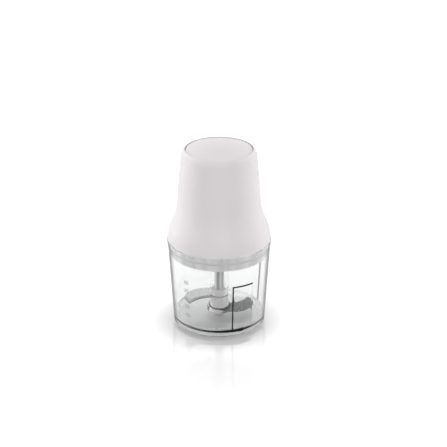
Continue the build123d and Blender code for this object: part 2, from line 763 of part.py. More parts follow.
# Planet gears, each with a tooth pointing outwards
for planet in range(PLANET_COUNT):
    planet_angle = planet * 360 / PLANET_COUNT
    planet_centre = (*polar(PLANET_ORBIT, planet_angle), GEAR_BOTTOM)
    planet_plane = Plane(planet_centre, x_dir=(*polar(1, planet_angle), 0), z_dir=(0, 0, 1))
    with BuildPart() as planet_gear:
        extrude(
            toothed_section(
                planet_plane,
                PLANET_TEETH,
                PLANET_PITCH - DEDENDUM,
                PLANET_PITCH + ADDENDUM,
                TOOTH_THINNING,
            ),
            amount=GEAR_WIDTH,
        )
        with Locations(planet_centre):
            Cylinder(
                PLANET_PIN_RADIUS + RUNNING, GEAR_WIDTH, align=UPWARD, mode=Mode.SUBTRACT
            )
    save(planet_gear, f"planet_gear_{planet + 1}")

# Planet carrier with its pins, on the top of the output shaft
with BuildPart() as planet_carrier:
    revolve(
        ring_section(STUB_RADIUS, CARRIER_RADIUS, CARRIER_BOTTOM, CARRIER_TOP), axis=Axis.Z
    )
    with Locations((0, 0, CARRIER_BOTTOM)):
        with PolarLocations(PLANET_ORBIT, PLANET_COUNT):
            Cylinder(PLANET_PIN_RADIUS, CARRIER_THICKNESS, align=UPWARD, mode=Mode.SUBTRACT)
save(planet_carrier, "planet_carrier")

with BuildPart() as planet_pins:
    with Locations((0, 0, CARRIER_BOTTOM)):
        with PolarLocations(PLANET_ORBIT, PLANET_COUNT):
            Cylinder(PLANET_PIN_RADIUS, GEAR_TOP - CARRIER_BOTTOM, align=UPWARD)
save(planet_pins, "planet_pins")

with BuildPart() as output_shaft:
    extrude(spline_section(OUTPUT_BOTTOM, 0), amount=STEM_TOP - OUTPUT_BOTTOM)
    with Locations((0, 0, STEM_TOP)):
        Cylinder(JOURNAL_RADIUS, CARRIER_BOTTOM - STEM_TOP, align=UPWARD)
    with Locations((0, 0, CARRIER_BOTTOM)):
        Cylinder(STUB_RADIUS, CARRIER_THICKNESS, align=UPWARD)
save(output_shaft, "output_shaft")

# Gearbox cover with its three screws
with BuildPart() as gearbox_cover:
    with BuildSketch(Plane.XY.offset(COVER_BOTTOM)):
        Circle(POT_RADIUS)
        with PolarLocations(COVER_SCREW_CIRCLE, COVER_SCREW_COUNT):
            Circle(COVER_EAR_RADIUS)
        Circle(SUN_JOURNAL_RADIUS + RUNNING, mode=Mode.SUBTRACT)
        with PolarLocations(COVER_SCREW_CIRCLE, COVER_SCREW_COUNT):
            Circle(COVER_SCREW_RADIUS + SCREW_PLAY, mode=Mode.SUBTRACT)
    extrude(amount=COVER_THICKNESS)
save(gearbox_cover, "gearbox_cover")

with BuildPart() as gearbox_screws:
    with PolarLocations(COVER_SCREW_CIRCLE, COVER_SCREW_COUNT):
        with Locations((0, 0, LID_FLOOR + SEAT_GAP)):
            Cylinder(COVER_SCREW_RADIUS, COVER_TOP - LID_FLOOR - SEAT_GAP, align=UPWARD)
        with Locations((0, 0, COVER_TOP)):
            Cylinder(2 * COVER_SCREW_RADIUS, SCREW_HEAD, align=UPWARD)
save(gearbox_screws, "gearbox_screws")

# Space inside the motor housing, less the screw bosses that stand in it
bracket_boss = STATOR_BOTTOM - SEAT_GAP - BRACKET_TOP
with BuildPart() as housing_space:
    revolve(bell_section(HOUSING_WALL), axis=Axis.Z)
    with Locations((0, 0, SHOULDER_Z)):
        Cylinder(SHOULDER_RADIUS - HOUSING_WALL, LIP_UNDERSIDE - SHOULDER_Z, align=UPWARD)
        Cylinder(LIP_RADIUS, HOUSING_TOP - SHOULDER_Z, align=UPWARD)
    with Locations((0, 0, PLATE_TOP)):
        with PolarLocations(PLATE_BOSS_CIRCLE, 4):
            Cylinder(PLATE_BOSS_RADIUS, PLATE_BOSS_HEIGHT, align=UPWARD, mode=Mode.SUBTRACT)
            Cylinder(SCREW_RADIUS, SCREW_LENGTH, align=UPWARD)
    with Locations((0, 0, BRACKET_TOP)):
        with PolarLocations(BRACKET_BOSS_CIRCLE, 4, start_angle=45):
            Cylinder(BRACKET_BOSS_RADIUS, bracket_boss, align=UPWARD, mode=Mode.SUBTRACT)
            Cylinder(SCREW_RADIUS, SCREW_LENGTH, align=UPWARD)

# Bell-shaped motor housing with its top opening, rear vents and the pad for the inlet
inlet_plane = Plane(origin=(0, 0, INLET_Z), x_dir=(1, 0, 0), z_dir=(0, 1, 0))
inlet_inner = INLET_PAD_FACE - INLET_LENGTH + INLET_FLANGE
with BuildPart() as outer_housing:
    revolve(bell_section(0), axis=Axis.Z)
    add(housing_space.part, mode=Mode.SUBTRACT)
    with BuildSketch(inlet_plane.offset(inlet_inner)):
        Circle(INLET_PAD_RADIUS)
    extrude(amount=INLET_PAD_FACE - inlet_inner)
    with BuildSketch(inlet_plane.offset(inlet_inner)):
        Circle(INLET_NECK)
    extrude(amount=INLET_PAD_FACE - inlet_inner, mode=Mode.SUBTRACT)
    vent_range = VENT_STEP * (VENT_COUNT - 1)
    vent_inside = LIP_RADIUS - HOUSING_WALL
    with Locations((0, 0, VENT_Z)):
        with PolarLocations(
            vent_inside, VENT_COUNT, BACK - vent_range / 2, vent_range, endpoint=True
        ):
            Box(
                SKIRT_RADIUS - vent_inside,
                VENT_WIDTH,
                VENT_HEIGHT,
                align=(Align.MIN, Align.CENTER, Align.CENTER),
                mode=Mode.SUBTRACT,
            )
save(outer_housing, "outer_housing")

# Gland for the mains lead, seated on the pad
with BuildPart() as cord_inlet:
    with BuildSketch(inlet_plane.offset(inlet_inner)):
        Circle(INLET_NECK)
        Circle(INLET_BORE, mode=Mode.SUBTRACT)
    extrude(amount=INLET_LENGTH)
    with BuildSketch(inlet_plane.offset(INLET_PAD_FACE)):
        Circle(INLET_FLANGE_RADIUS)
        Circle(INLET_BORE, mode=Mode.SUBTRACT)
    extrude(amount=INLET_FLANGE)
save(cord_inlet, "cord_inlet")

# Base plate that closes the motor unit, with cooling slots and four screws
with BuildPart() as base_plate:
    with BuildSketch(Plane.XY.offset(PLATE_BOTTOM)):
        Circle(PLATE_RADIUS)
        Circle(PLATE_HOLE_RADIUS, mode=Mode.SUBTRACT)
        with PolarLocations(PLATE_BOSS_CIRCLE, 4):
            Circle(SCREW_RADIUS + SCREW_PLAY, mode=Mode.SUBTRACT)
        with PolarLocations((PLATE_HOLE_RADIUS + PLATE_BOSS_CIRCLE) / 2, PLATE_VENTS):
            SlotOverall(PLATE_HOLE_RADIUS, 2 * VENT_WIDTH, mode=Mode.SUBTRACT)
    extrude(amount=PLATE_THICKNESS)
save(base_plate, "base_plate")

with BuildPart() as base_screws:
    with PolarLocations(PLATE_BOSS_CIRCLE, 4):
        with Locations((0, 0, PLATE_BOTTOM - SCREW_HEAD)):
            Cylinder(SCREW_HEAD_RADIUS, SCREW_HEAD, align=UPWARD)
        with Locations((0, 0, PLATE_BOTTOM)):
            Cylinder(SCREW_RADIUS, PLATE_THICKNESS + SCREW_LENGTH - SEAT_GAP, align=UPWARD)
save(base_screws, "base_screws")

# Lower motor bracket: arms to the housing bosses, legs under the stator, bearing boss
with BuildPart() as lower_bracket:
    with BuildSketch(Plane.XY.offset(BRACKET_BOTTOM)):
        for arm in (45, 135):
            SlotCenterToCenter(2 * BRACKET_BOSS_CIRCLE, BRACKET_ARM_WIDTH, rotation=arm)
    extrude(amount=BRACKET_THICKNESS)
    with Locations((0, 0, BRACKET_BOTTOM)):
        Cylinder(BEARING_BOSS_RADIUS, BEARING_LENGTH, align=UPWARD)
        Cylinder(BEARING_RADIUS, BEARING_LENGTH, align=UPWARD, mode=Mode.SUBTRACT)
        with PolarLocations(LEG_CIRCLE_RADIUS, 4, start_angle=45):
            Cylinder(LEG_RADIUS, STATOR_BOTTOM - BRACKET_BOTTOM, align=UPWARD)
            Cylinder(
                LONG_SCREW_RADIUS + SCREW_PLAY,
                STATOR_BOTTOM - BRACKET_BOTTOM,
                align=UPWARD,
                mode=Mode.SUBTRACT,
            )
        with PolarLocations(BRACKET_BOSS_CIRCLE, 4, start_angle=45):
            Cylinder(
                SCREW_RADIUS + SCREW_PLAY, BRACKET_THICKNESS, align=UPWARD, mode=Mode.SUBTRACT
            )
save(lower_bracket, "lower_bracket")

with BuildPart() as bracket_screws:
    with PolarLocations(BRACKET_BOSS_CIRCLE, 4, start_angle=45):
        with Locations((0, 0, BRACKET_BOTTOM - SCREW_HEAD)):
            Cylinder(SCREW_HEAD_RADIUS, SCREW_HEAD, align=UPWARD)
        with Locations((0, 0, BRACKET_BOTTOM)):
            Cylinder(SCREW_RADIUS, BRACKET_THICKNESS + SCREW_LENGTH - SEAT_GAP, align=UPWARD)
save(bracket_screws, "bracket_screws")

# Upper motor bracket: round plate on four legs, with a closed bearing boss
with BuildPart() as upper_bracket:
    with BuildSketch(Plane.XY.offset(UPPER_PLATE_BOTTOM)):
        Circle(UPPER_PLATE_RADIUS)
    extrude(amount=UPPER_PLATE_THICKNESS)
    with Locations((0, 0, STATOR_TOP)):
        with PolarLocations(LEG_CIRCLE_RADIUS, 4, start_angle=45):
            Cylinder(LEG_RADIUS, UPPER_PLATE_TOP - STATOR_TOP, align=UPWARD)
            Cylinder(
                LONG_SCREW_RADIUS + SCREW_PLAY,
                UPPER_PLATE_TOP - STATOR_TOP,
                align=UPWARD,
                mode=Mode.SUBTRACT,
            )
    with Locations((0, 0, UPPER_PLATE_BOTTOM)):
        Cylinder(BEARING_BOSS_RADIUS, UPPER_BOSS_TOP - UPPER_PLATE_BOTTOM, align=UPWARD)
        Cylinder(
            BEARING_RADIUS,
            UPPER_BEARING_TOP - UPPER_PLATE_BOTTOM,
            align=UPWARD,
            mode=Mode.SUBTRACT,
        )
save(upper_bracket, "upper_bracket")

with BuildPart() as motor_screws:
    with PolarLocations(LEG_CIRCLE_RADIUS, 4, start_angle=45):
        with Locations((0, 0, BRACKET_BOTTOM)):
            Cylinder(LONG_SCREW_RADIUS, UPPER_PLATE_TOP - BRACKET_BOTTOM, align=UPWARD)
        with Locations((0, 0, UPPER_PLATE_TOP)):
            Cylinder(2 * LONG_SCREW_RADIUS, SCREW_HEAD, align=UPWARD)
save(motor_screws, "motor_screws")

# Plain bearings of the motor shaft
for bearing_name, bearing_bottom, bearing_top in (
    ("lower_bearing", BRACKET_BOTTOM, LOWER_BEARING_TOP),
    ("upper_bearing", UPPER_PLATE_BOTTOM, UPPER_BEARING_TOP),
):
    with BuildPart() as bearing:
        revolve(
            ring_section(SHAFT_RADIUS + RUNNING, BEARING_RADIUS, bearing_bottom, bearing_top),
            axis=Axis.Z,
        )
    save(bearing, bearing_name)

# Stator stack: two poles with shoes, windows for the field coils, screw holes
window_length = COIL_THICKNESS + 2 * COIL_PLAY
window_depth = COIL_DEPTH + 2 * COIL_PLAY
window_side = COIL_INSIDE + window_length / 2
with BuildPart() as stator_core:
    with BuildSketch(Plane.XY.offset(STATOR_BOTTOM)):
        RectangleRounded(STATOR_WIDTH, STATOR_DEPTH, STATOR_CORNER)
        Circle(STATOR_BORE, mode=Mode.SUBTRACT)
        with GridLocations(2 * window_side, 2 * POLE_NECK_HALF + window_depth, 2, 2):
            Rectangle(window_length, window_depth, mode=Mode.SUBTRACT)
        Rectangle(
            2 * POLE_GAP_HALF, 2 * (STATOR_BORE + POLE_GAP_DEPTH), mode=Mode.SUBTRACT
        )
        with PolarLocations(LEG_CIRCLE_RADIUS, 4, start_angle=45):
            Circle(LONG_SCREW_RADIUS + SCREW_PLAY, mode=Mode.SUBTRACT)
    extrude(amount=STATOR_STACK)
save(stator_core, "stator_core")

# Field coils, one round each pole neck
coil_inner_width = 2 * (POLE_NECK_HALF + COIL_PLAY)
coil_inner_height = STATOR_STACK + 2 * COIL_PLAY
with BuildPart() as field_coils:
    for side in (-1, 1):
        coil_start = side * (COIL_INSIDE + COIL_PLAY)
        coil_plane = Plane(
            origin=(coil_start, 0, STATOR_BOTTOM + STATOR_STACK / 2),
            x_dir=(0, 1, 0),
            z_dir=(1, 0, 0),
        )
        with BuildSketch(coil_plane):
            RectangleRounded(
                coil_inner_width + 2 * COIL_DEPTH,
                coil_inner_height + 2 * COIL_OVERHANG,
                COIL_OVERHANG,
            )
            Rectangle(coil_inner_width, coil_inner_height, mode=Mode.SUBTRACT)
        extrude(amount=side * COIL_THICKNESS)
save(field_coils, "field_coils")

# Armature: shaft, slotted core, end windings, commutator, fan and drive dog
with BuildPart() as motor_shaft:
    with Locations((0, 0, SHAFT_BOTTOM)):
        Cylinder(SHAFT_RADIUS, SHAFT_TOP - SHAFT_BOTTOM, align=UPWARD)
save(motor_shaft, "motor_shaft")

with BuildPart() as armature_core:
    with BuildSketch(Plane.XY.offset(STATOR_BOTTOM)):
        Circle(ARMATURE_RADIUS)
        Circle(SHAFT_RADIUS, mode=Mode.SUBTRACT)
        with PolarLocations(ARMATURE_RADIUS, ARMATURE_SLOTS):
            Rectangle(2 * SLOT_DEPTH, SLOT_WIDTH, mode=Mode.SUBTRACT)
    extrude(amount=STATOR_STACK)
save(armature_core, "armature_core")

with BuildPart() as armature_windings:
    for winding_start, outward in ((STATOR_BOTTOM, -1), (STATOR_TOP, 1)):
        winding_end = winding_start + outward * WINDING_HEIGHT
        low = min(winding_start, winding_end)
        revolve(
            ring_section(SHAFT_RADIUS, WINDING_RADIUS, low, low + WINDING_HEIGHT), axis=Axis.Z
        )
        fillet(ring_edges(armature_windings, WINDING_RADIUS, winding_end), WINDING_ROUND)
save(armature_windings, "armature_windings")

with BuildPart() as commutator:
    with BuildSketch(Plane.XY.offset(COMMUTATOR_BOTTOM)):
        Circle(COMMUTATOR_RADIUS)
        Circle(SHAFT_RADIUS, mode=Mode.SUBTRACT)
        with PolarLocations(COMMUTATOR_RADIUS, ARMATURE_SLOTS):
            Rectangle(2 * COMMUTATOR_SLOT_DEPTH, COMMUTATOR_SLOT, mode=Mode.SUBTRACT)
    extrude(amount=COMMUTATOR_LENGTH)
save(commutator, "commutator")

with BuildPart() as cooling_fan:
    revolve(
        ring_section(SHAFT_RADIUS, FAN_RADIUS, FAN_BOTTOM, FAN_BOTTOM + FAN_DISC), axis=Axis.Z
    )
    revolve(ring_section(SHAFT_RADIUS, FAN_HUB_RADIUS, FAN_BOTTOM, FAN_TOP), axis=Axis.Z)
    vane_start = (SHAFT_RADIUS + FAN_HUB_RADIUS) / 2
    with Locations((0, 0, FAN_BOTTOM)):
        with PolarLocations(vane_start, FAN_BLADES):
            Box(
                FAN_RADIUS - vane_start,
                FAN_BLADE_THICKNESS,
                FAN_HEIGHT,
                align=(Align.MIN, Align.CENTER, Align.MIN),
            )
save(cooling_fan, "cooling_fan")

with BuildPart() as drive_dog:
    dog_shoulder = COUPLING_TOP + SEAT_GAP
    extrude(spline_section(DOG_BOTTOM, 0), amount=dog_shoulder - DOG_BOTTOM)
    with Locations((0, 0, dog_shoulder)):
        Cylinder(COUPLING_RADIUS, DOG_TOP - dog_shoulder, align=UPWARD)
    with Locations((0, 0, SHAFT_BOTTOM)):
        Cylinder(SHAFT_RADIUS, DOG_TOP - SHAFT_BOTTOM, align=UPWARD, mode=Mode.SUBTRACT)
save(drive_dog, "drive_dog")

# Brush gear under the upper plate, one brush each side of the commutator
holder_width = BRUSH_WIDTH + 2 * BRUSH_HOLDER_WALL
holder_bottom = BRUSH_Z - BRUSH_HEIGHT / 2 - BRUSH_HOLDER_WALL
holder_start = COMMUTATOR_RADIUS + BRUSH_HOLDER_GAP
brush_start = COMMUTATOR_RADIUS + SEAT_GAP
with BuildPart() as brush_holders:
    with Locations((0, 0, holder_bottom)):
        with PolarLocations(holder_start, 2, start_angle=90):
            Box(
                BRUSH_HOLDER_LENGTH,
                holder_width,
                UPPER_PLATE_BOTTOM - holder_bottom,
                align=(Align.MIN, Align.CENTER, Align.MIN),
            )
    with Locations((0, 0, BRUSH_Z)):
        with PolarLocations(brush_start, 2, start_angle=90):
            Box(
                BRUSH_LENGTH,
                BRUSH_WIDTH,
                BRUSH_HEIGHT,
                align=(Align.MIN, Align.CENTER, Align.CENTER),
                mode=Mode.SUBTRACT,
            )
save(brush_holders, "brush_holders")

with BuildPart() as carbon_brushes:
    with Locations((0, 0, BRUSH_Z)):
        with PolarLocations(brush_start, 2, start_angle=90):
            Box(
                BRUSH_LENGTH,
                BRUSH_WIDTH,
                BRUSH_HEIGHT,
                align=(Align.MIN, Align.CENTER, Align.CENTER),
            )
save(carbon_brushes, "carbon_brushes")

# Switch with its button, and the suppression capacitor, on the upper plate
button_bottom = SWITCH_TOP - BUTTON_DEPTH
with BuildPart() as micro_switch:
    with Locations((SWITCH_OFFSET, 0, UPPER_PLATE_TOP)):
        Box(SWITCH_LENGTH, SWITCH_WIDTH, SWITCH_HEIGHT, align=UPWARD)
    well_bottom = button_bottom - CAP_TRAVEL - SEAT_GAP
    with Locations((SWITCH_OFFSET, 0, well_bottom)):
        Cylinder(
            BUTTON_RADIUS + RUNNING, SWITCH_TOP - well_bottom, align=UPWARD, mode=Mode.SUBTRACT
        )
save(micro_switch, "micro_switch")

with BuildPart() as switch_button:
    with Locations((SWITCH_OFFSET, 0, button_bottom)):
        Cylinder(BUTTON_RADIUS, BUTTON_TOP - button_bottom, align=UPWARD)
save(switch_button, "switch_button")

with BuildPart() as suppression_capacitor:
    with Locations((-CAPACITOR_OFFSET, 0, UPPER_PLATE_TOP)):
        Box(CAPACITOR_LENGTH, CAPACITOR_WIDTH, CAPACITOR_HEIGHT, align=UPWARD)
    fillet(suppression_capacitor.edges().filter_by(Axis.Z), CAPACITOR_ROUND)
save(suppression_capacitor, "suppression_capacitor")

# Return spring between the upper bearing boss and the push cap
spring_path = helix_arcs(
    SPRING_RADIUS,
    SPRING_BOTTOM + SPRING_WIRE,
    SPRING_LENGTH - 2 * SPRING_WIRE,
    SPRING_TURNS,
)
with BuildPart() as return_spring:
    with BuildSketch(Plane(origin=spring_path @ 0, z_dir=spring_path % 0)):
        Circle(SPRING_WIRE)
    sweep(path=spring_path)
save(return_spring, "return_spring")

# Space under the push cap, less the spring cup and the post that works the switch
with BuildPart() as cap_space:
    revolve(
        dome_section(
            CAP_RADIUS - CAP_WALL, CAP_EDGE_Z - CAP_WALL, CAP_TOP - CAP_WALL, CAP_BOTTOM
        ),
        axis=Axis.Z,
    )
    with Locations((0, 0, SPRING_CUP_BOTTOM)):
        Cylinder(
            SPRING_CUP_RADIUS, CAP_TOP - SPRING_CUP_BOTTOM, align=UPWARD, mode=Mode.SUBTRACT
        )
        Cylinder(SPRING_CUP_BORE, CAP_EDGE_Z - SPRING_CUP_BOTTOM, align=UPWARD)
    with Locations((SWITCH_OFFSET, 0, BUTTON_TOP + SEAT_GAP)):
        Cylinder(POST_RADIUS, CAP_TOP - BUTTON_TOP, align=UPWARD, mode=Mode.SUBTRACT)

# Push cap: domed shell with a skirt and snap hooks under the housing's lip
with BuildPart() as push_cap:
    revolve(dome_section(CAP_RADIUS, CAP_EDGE_Z, CAP_TOP, CAP_BOTTOM), axis=Axis.Z)
    fillet(ring_edges(push_cap, CAP_RADIUS, CAP_EDGE_Z), CAP_EDGE_ROUND)
    add(cap_space.part, mode=Mode.SUBTRACT)
    for hook in range(HOOK_COUNT):
        hook_from = BACK + hook * 360 / HOOK_COUNT - HOOK_SPAN / 2
        hook_section = turned(
            (CAP_RADIUS - CAP_WALL, CAP_BOTTOM),
            (CAP_RADIUS, CAP_BOTTOM),
            (CAP_RADIUS + HOOK_PROUD, HOOK_TOP - HOOK_PROUD),
            (CAP_RADIUS + HOOK_PROUD, HOOK_TOP),
            (CAP_RADIUS - CAP_WALL, HOOK_TOP),
            plane=upright(hook_from),
        )
        revolve(hook_section, axis=Axis.Z, revolution_arc=HOOK_SPAN)
save(push_cap, "push_cap")
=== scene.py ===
from math import acos, cos, pi, radians, sin, tan

import bmesh
import bpy
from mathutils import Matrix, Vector


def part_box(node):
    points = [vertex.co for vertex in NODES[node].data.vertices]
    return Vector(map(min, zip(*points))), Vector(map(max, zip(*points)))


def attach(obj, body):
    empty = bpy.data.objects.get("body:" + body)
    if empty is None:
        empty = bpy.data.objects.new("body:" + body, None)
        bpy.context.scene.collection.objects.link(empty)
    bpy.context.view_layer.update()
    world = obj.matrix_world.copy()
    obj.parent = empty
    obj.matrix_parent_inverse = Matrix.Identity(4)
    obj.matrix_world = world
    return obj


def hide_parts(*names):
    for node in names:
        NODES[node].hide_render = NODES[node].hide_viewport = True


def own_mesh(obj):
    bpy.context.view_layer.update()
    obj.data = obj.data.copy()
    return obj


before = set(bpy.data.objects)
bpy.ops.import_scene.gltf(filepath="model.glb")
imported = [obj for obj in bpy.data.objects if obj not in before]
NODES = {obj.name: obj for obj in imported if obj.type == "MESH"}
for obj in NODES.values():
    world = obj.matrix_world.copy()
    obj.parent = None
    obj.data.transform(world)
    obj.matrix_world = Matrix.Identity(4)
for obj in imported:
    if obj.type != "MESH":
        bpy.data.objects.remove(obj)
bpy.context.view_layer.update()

# A press-top mini chopper in metres: clear bowl, blade unit, coupling lid, motor unit, push cap.
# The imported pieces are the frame. The clear bowl, its level window and its scale are made here
# as finer meshes, the return spring is copied so that it can shorten, and every surface gets a
# finish of its own.

MM = 0.001

# Bowl, with its height and width from the frame
BOWL_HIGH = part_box("bowl")[1]
RIM_TOP = BOWL_HIGH.z
BEAD_RADIUS = BOWL_HIGH.y
BEAD_PROUD = 0.5 * MM
BEAD_HEIGHT = 3.0 * MM
BEAD_BLEND = 12.0 * MM
RIM_RADIUS = BEAD_RADIUS - BEAD_PROUD
FOOT_RADIUS = 54.7 * MM
FOOT_RING_WIDTH = 7.0 * MM
FOOT_ROUND = 1.6 * MM
BOWL_WALL = 2.4 * MM
BOWL_EDGE = 0.5 * MM
BEAD_ROUND = BOWL_EDGE / 4
FLOOR_UNDERSIDE = 4.0 * MM
FLOOR_TOP = 7.0 * MM
INNER_ROUND = 5.0 * MM
BOSS_RADIUS = 7.0 * MM
BOSS_UNDERSIDE = 1.5 * MM
BOSS_TOP = 10.0 * MM
PIN_BORE = 3.05 * MM
PIN_BOTTOM = 2.95 * MM

# Raised level window on the bowl's wall, and the rib on the inside across from it
WINDOW_FROM = radians(-59.5)
WINDOW_TO = radians(-33.0)
WINDOW_BOTTOM = 8.5 * MM
WINDOW_TOP = 67.2 * MM
WINDOW_PROUD = 0.8 * MM
WINDOW_EDGE = 1.5 * MM
RIB_FROM = radians(38.0)
RIB_TO = radians(60.0)
RIB_TOP = 80.0 * MM
RIB_PROUD = 0.8 * MM
RIB_EDGE = 1.7 * MM

# Painted shade: a dark line round the front of the base, thickest below the window, for the shaded
# ground that the base shows by refraction
LINE_FROM = radians(-127.0)
LINE_THICKEST = radians(-47.0)
LINE_TO = radians(-27.0)
LINE_HEIGHT = 8.2 * MM
LINE_THICKNESS = 5.1 * MM
LINE_SWELL = 1.5
LINE_ROWS = 12

# Printed scale on the bowl's wall: a mark for every 100 ml
SCALE_TURN = radians(-116.0)
SCALE_COUNT = 5
SCALE_STEP = 100
SCALE_LOWEST = 22.6 * MM
SCALE_SPACING = 10.7 * MM
TICK_LENGTH = 8.0 * MM
TICK_HEIGHT = 0.7 * MM
TICK_PROUD = 0.2 * MM
NUMBER_SIZE = 4.2 * MM
NUMBER_LIFT = 1.1 * MM
PRINT_THICKNESS = 0.06 * MM

# Fineness of the meshes that are made here
TURN_STEPS = 192
ROUND_STEPS = 6
TICK_COLUMNS = 9
NUMBER_STEPS = 4
MERGE_REACH = 1e-7
SHARP_ANGLE = radians(35.0)
# Long stretches of an outline are held flat by points a short way from their ends
HOLD = 0.15 * MM
LONG_STRETCH = 4 * HOLD
# A face takes the paint of a turn that is just past its first edge, in radians
PAINT_TURN = 0.00015

# Distances from the axis: splines of the drive shafts, and where a blade comes out of its stem
SPLINE_ROOT = 4.3 * MM
SPLINE_TIP = 5.5 * MM
BLADE_ROOT = (10.5 * MM, 13.5 * MM)

# Heights of the rubbed edges of the shell and the lid, and where the stem turns milky
WHITE_EDGES = (107.0 * MM, 216.0 * MM)
LID_EDGES = (87.5 * MM, 106.2 * MM)
STEM_MILKY_DEPTH = 0.6 * MM
STEM_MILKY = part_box("blade_hub")[1].z - STEM_MILKY_DEPTH

# Most of a noise pattern lies between these
NOISE_LOW = 0.3
NOISE_HIGH = 0.7

# Scales of the noise in the finishes: a larger scale is a finer pattern
MOULDED_DRIFT = 38.0
MOULDED_GLEAM = 120.0
MOULDED_GRAIN = 1400.0
RUBBED_MARKS = 260.0
FLUTED_STREAKS = 500.0
METAL_LINES = 900.0
LAMINATION_LINES = 2200.0
SINTERED_GRAIN = 1600.0
CLEAR_DRIFT = 30.0
CLEAR_WAVES = 60.0
CLEAR_MARKS = 420.0
FROSTED_DRIFT = 90.0
FROSTED_GRAIN = 900.0

# Other measures of the finishes
WHITE = (1.0, 1.0, 1.0, 1.0)
EVEN = (1.0, 1.0, 1.0)
SOFT_RELIEF = 0.1
METAL_RELIEF = 0.15
CLEAR_RELIEF = 0.02
FINE_DEPTH = 0.01 * MM
FLUTED_DEPTH = 0.02 * MM
CLEAR_DEPTH = 0.05 * MM
FLUTED_STRETCH = (1.0, 1.0, 0.15)
FLUTED_RUBBED = (0.7, 1.0)
RUBBED_REACH = 2.0 * MM
RUBBED_GLEAM = 0.15
EDGE_REACH = 1.0 * MM
EDGE_SAMPLES = 8
EDGE_MATCH = (0.9, 0.995)
CLEAR_IOR = 1.5
CLEAR_SHADES = ((0.975, 0.98, 0.98), (0.99, 0.993, 0.993))
CLEAR_EDGE_ON = (0.62, 0.77)
MILKY_SHARE = 0.2
MILKY_FADE = 0.2 * MM
FROSTED_IOR = 1.15
FROSTED_SHARE = 0.5

# Camera, set from the ellipses of the bowl's rim and foot
LENS = 110.617
SENSOR_WIDTH = 36.0
CAMERA_AZIMUTH = radians(15.0)
CAMERA_PITCH = radians(23.883)
CAMERA_BACK = 1477.6 * MM
CAMERA_SIDE = 5.11 * MM
CAMERA_HEIGHT = 776.9 * MM

# Studio: the world's light, and a ground that is lifted by a share for each way to see it:
# from the camera, through clear pieces where it is open, through them anywhere, and mirrored
WORLD_LEVEL = 0.45
GROUND_HALF = 4.0
GROUND_LEVEL = -0.2 * MM
GROUND_COLOUR = (0.52, 0.52, 0.52, 1.0)
GROUND_GLOSS = 0.12
GROUND_IOR = 3.0
GROUND_SEEN = 0.46
GROUND_OPEN = 0.08
GROUND_THROUGH = 0.14
GROUND_MIRRORED = 0.05
# How the ground's lift fades near the object by ambient occlusion: a painted contact shadow
SHADE_SAMPLES = 16
SHADE_REACH = 40.0 * MM
SHADE_POWER = 2.2

# Soft lamps, all aimed at one height on the axis: the name, then the place to the side of the
# view, behind the object and up, then the width, the length and the power
LAMP_AIM = 0.1
LAMPS = (
    ("left_lamp", -1.28, 0.57, 0.22, 0.5, 0.4, 10.6),
    ("right_lamp", 1.28, 0.57, 0.22, 0.5, 0.4, 8.8),
    ("top_lamp", -0.2, 0.3, 1.25, 1.1, 1.1, 4.4),
    ("front_lamp", 0.1, -1.45, 0.75, 1.0, 0.8, 6.0),
    ("back_lamp", 0.3, 0.65, 1.6, 1.6, 0.35, 14.0),
)


# Patterns


def start_finish(name):
    """A new material, its node tree, its shader and the object coordinates."""
    finish = bpy.data.materials.new(name)
    finish.use_nodes = True
    tree = finish.node_tree
    place = tree.nodes.new("ShaderNodeTexCoord").outputs["Object"]
    return finish, tree, tree.nodes["Principled BSDF"], place


def mottle(tree, place, scale, detail=2.0, stretch=EVEN):
    """A noise pattern, drawn out along an axis where stretch is small."""
    mapping = tree.nodes.new("ShaderNodeMapping")
    mapping.inputs["Scale"].default_value = stretch
    tree.links.new(place, mapping.inputs["Vector"])
    noise = tree.nodes.new("ShaderNodeTexNoise")
    noise.inputs["Scale"].default_value = scale
    noise.inputs["Detail"].default_value = detail
    tree.links.new(mapping.outputs["Vector"], noise.inputs["Vector"])
    return noise.outputs["Fac"]


def between(tree, factor, low, high, start=NOISE_LOW, finish=NOISE_HIGH):
    """A number that runs from low to high as a pattern runs from start to finish."""
    span = tree.nodes.new("ShaderNodeMapRange")
    span.inputs["From Min"].default_value = start
    span.inputs["From Max"].default_value = finish
    span.inputs["To Min"].default_value = low
    span.inputs["To Max"].default_value = high
    tree.links.new(factor, span.inputs["Value"])
    return span.outputs["Result"]


def shades(tree, factor, first, second):
    """A colour between two as a pattern says, each a socket or a shade."""
    mix = tree.nodes.new("ShaderNodeMix")
    mix.data_type = "RGBA"
    tree.links.new(factor, mix.inputs["Factor"])
    for name, colour in (("A", first), ("B", second)):
        if isinstance(colour, tuple):
            mix.inputs[name].default_value = (*colour, 1.0)
        else:
            tree.links.new(colour, mix.inputs[name])
    return mix.outputs["Result"]


def worked(tree, operation, first, second=0.0):
    """One sum of two values, each a socket or a number."""
    node = tree.nodes.new("ShaderNodeMath")
    node.operation = operation
    for index, value in enumerate((first, second)):
        if isinstance(value, (int, float)):
            node.inputs[index].default_value = value
        else:
            tree.links.new(value, node.inputs[index])
    return node.outputs[0]


def height_of(tree, place):
    """The height of a place."""
    split = tree.nodes.new("ShaderNodeSeparateXYZ")
    tree.links.new(place, split.inputs["Vector"])
    return split.outputs["Z"]


def near_heights(tree, place, heights, reach):
    """A pattern that is 1 at some heights and fades to 0 a short way from them."""
    level = height_of(tree, place)
    nearest = None
    for height in heights:
        gap = worked(tree, "ABSOLUTE", worked(tree, "SUBTRACT", level, height))
        nearest = worked(tree, "MINIMUM", nearest, gap) if nearest else gap
    return between(tree, nearest, 1.0, 0.0, 0.0, reach)


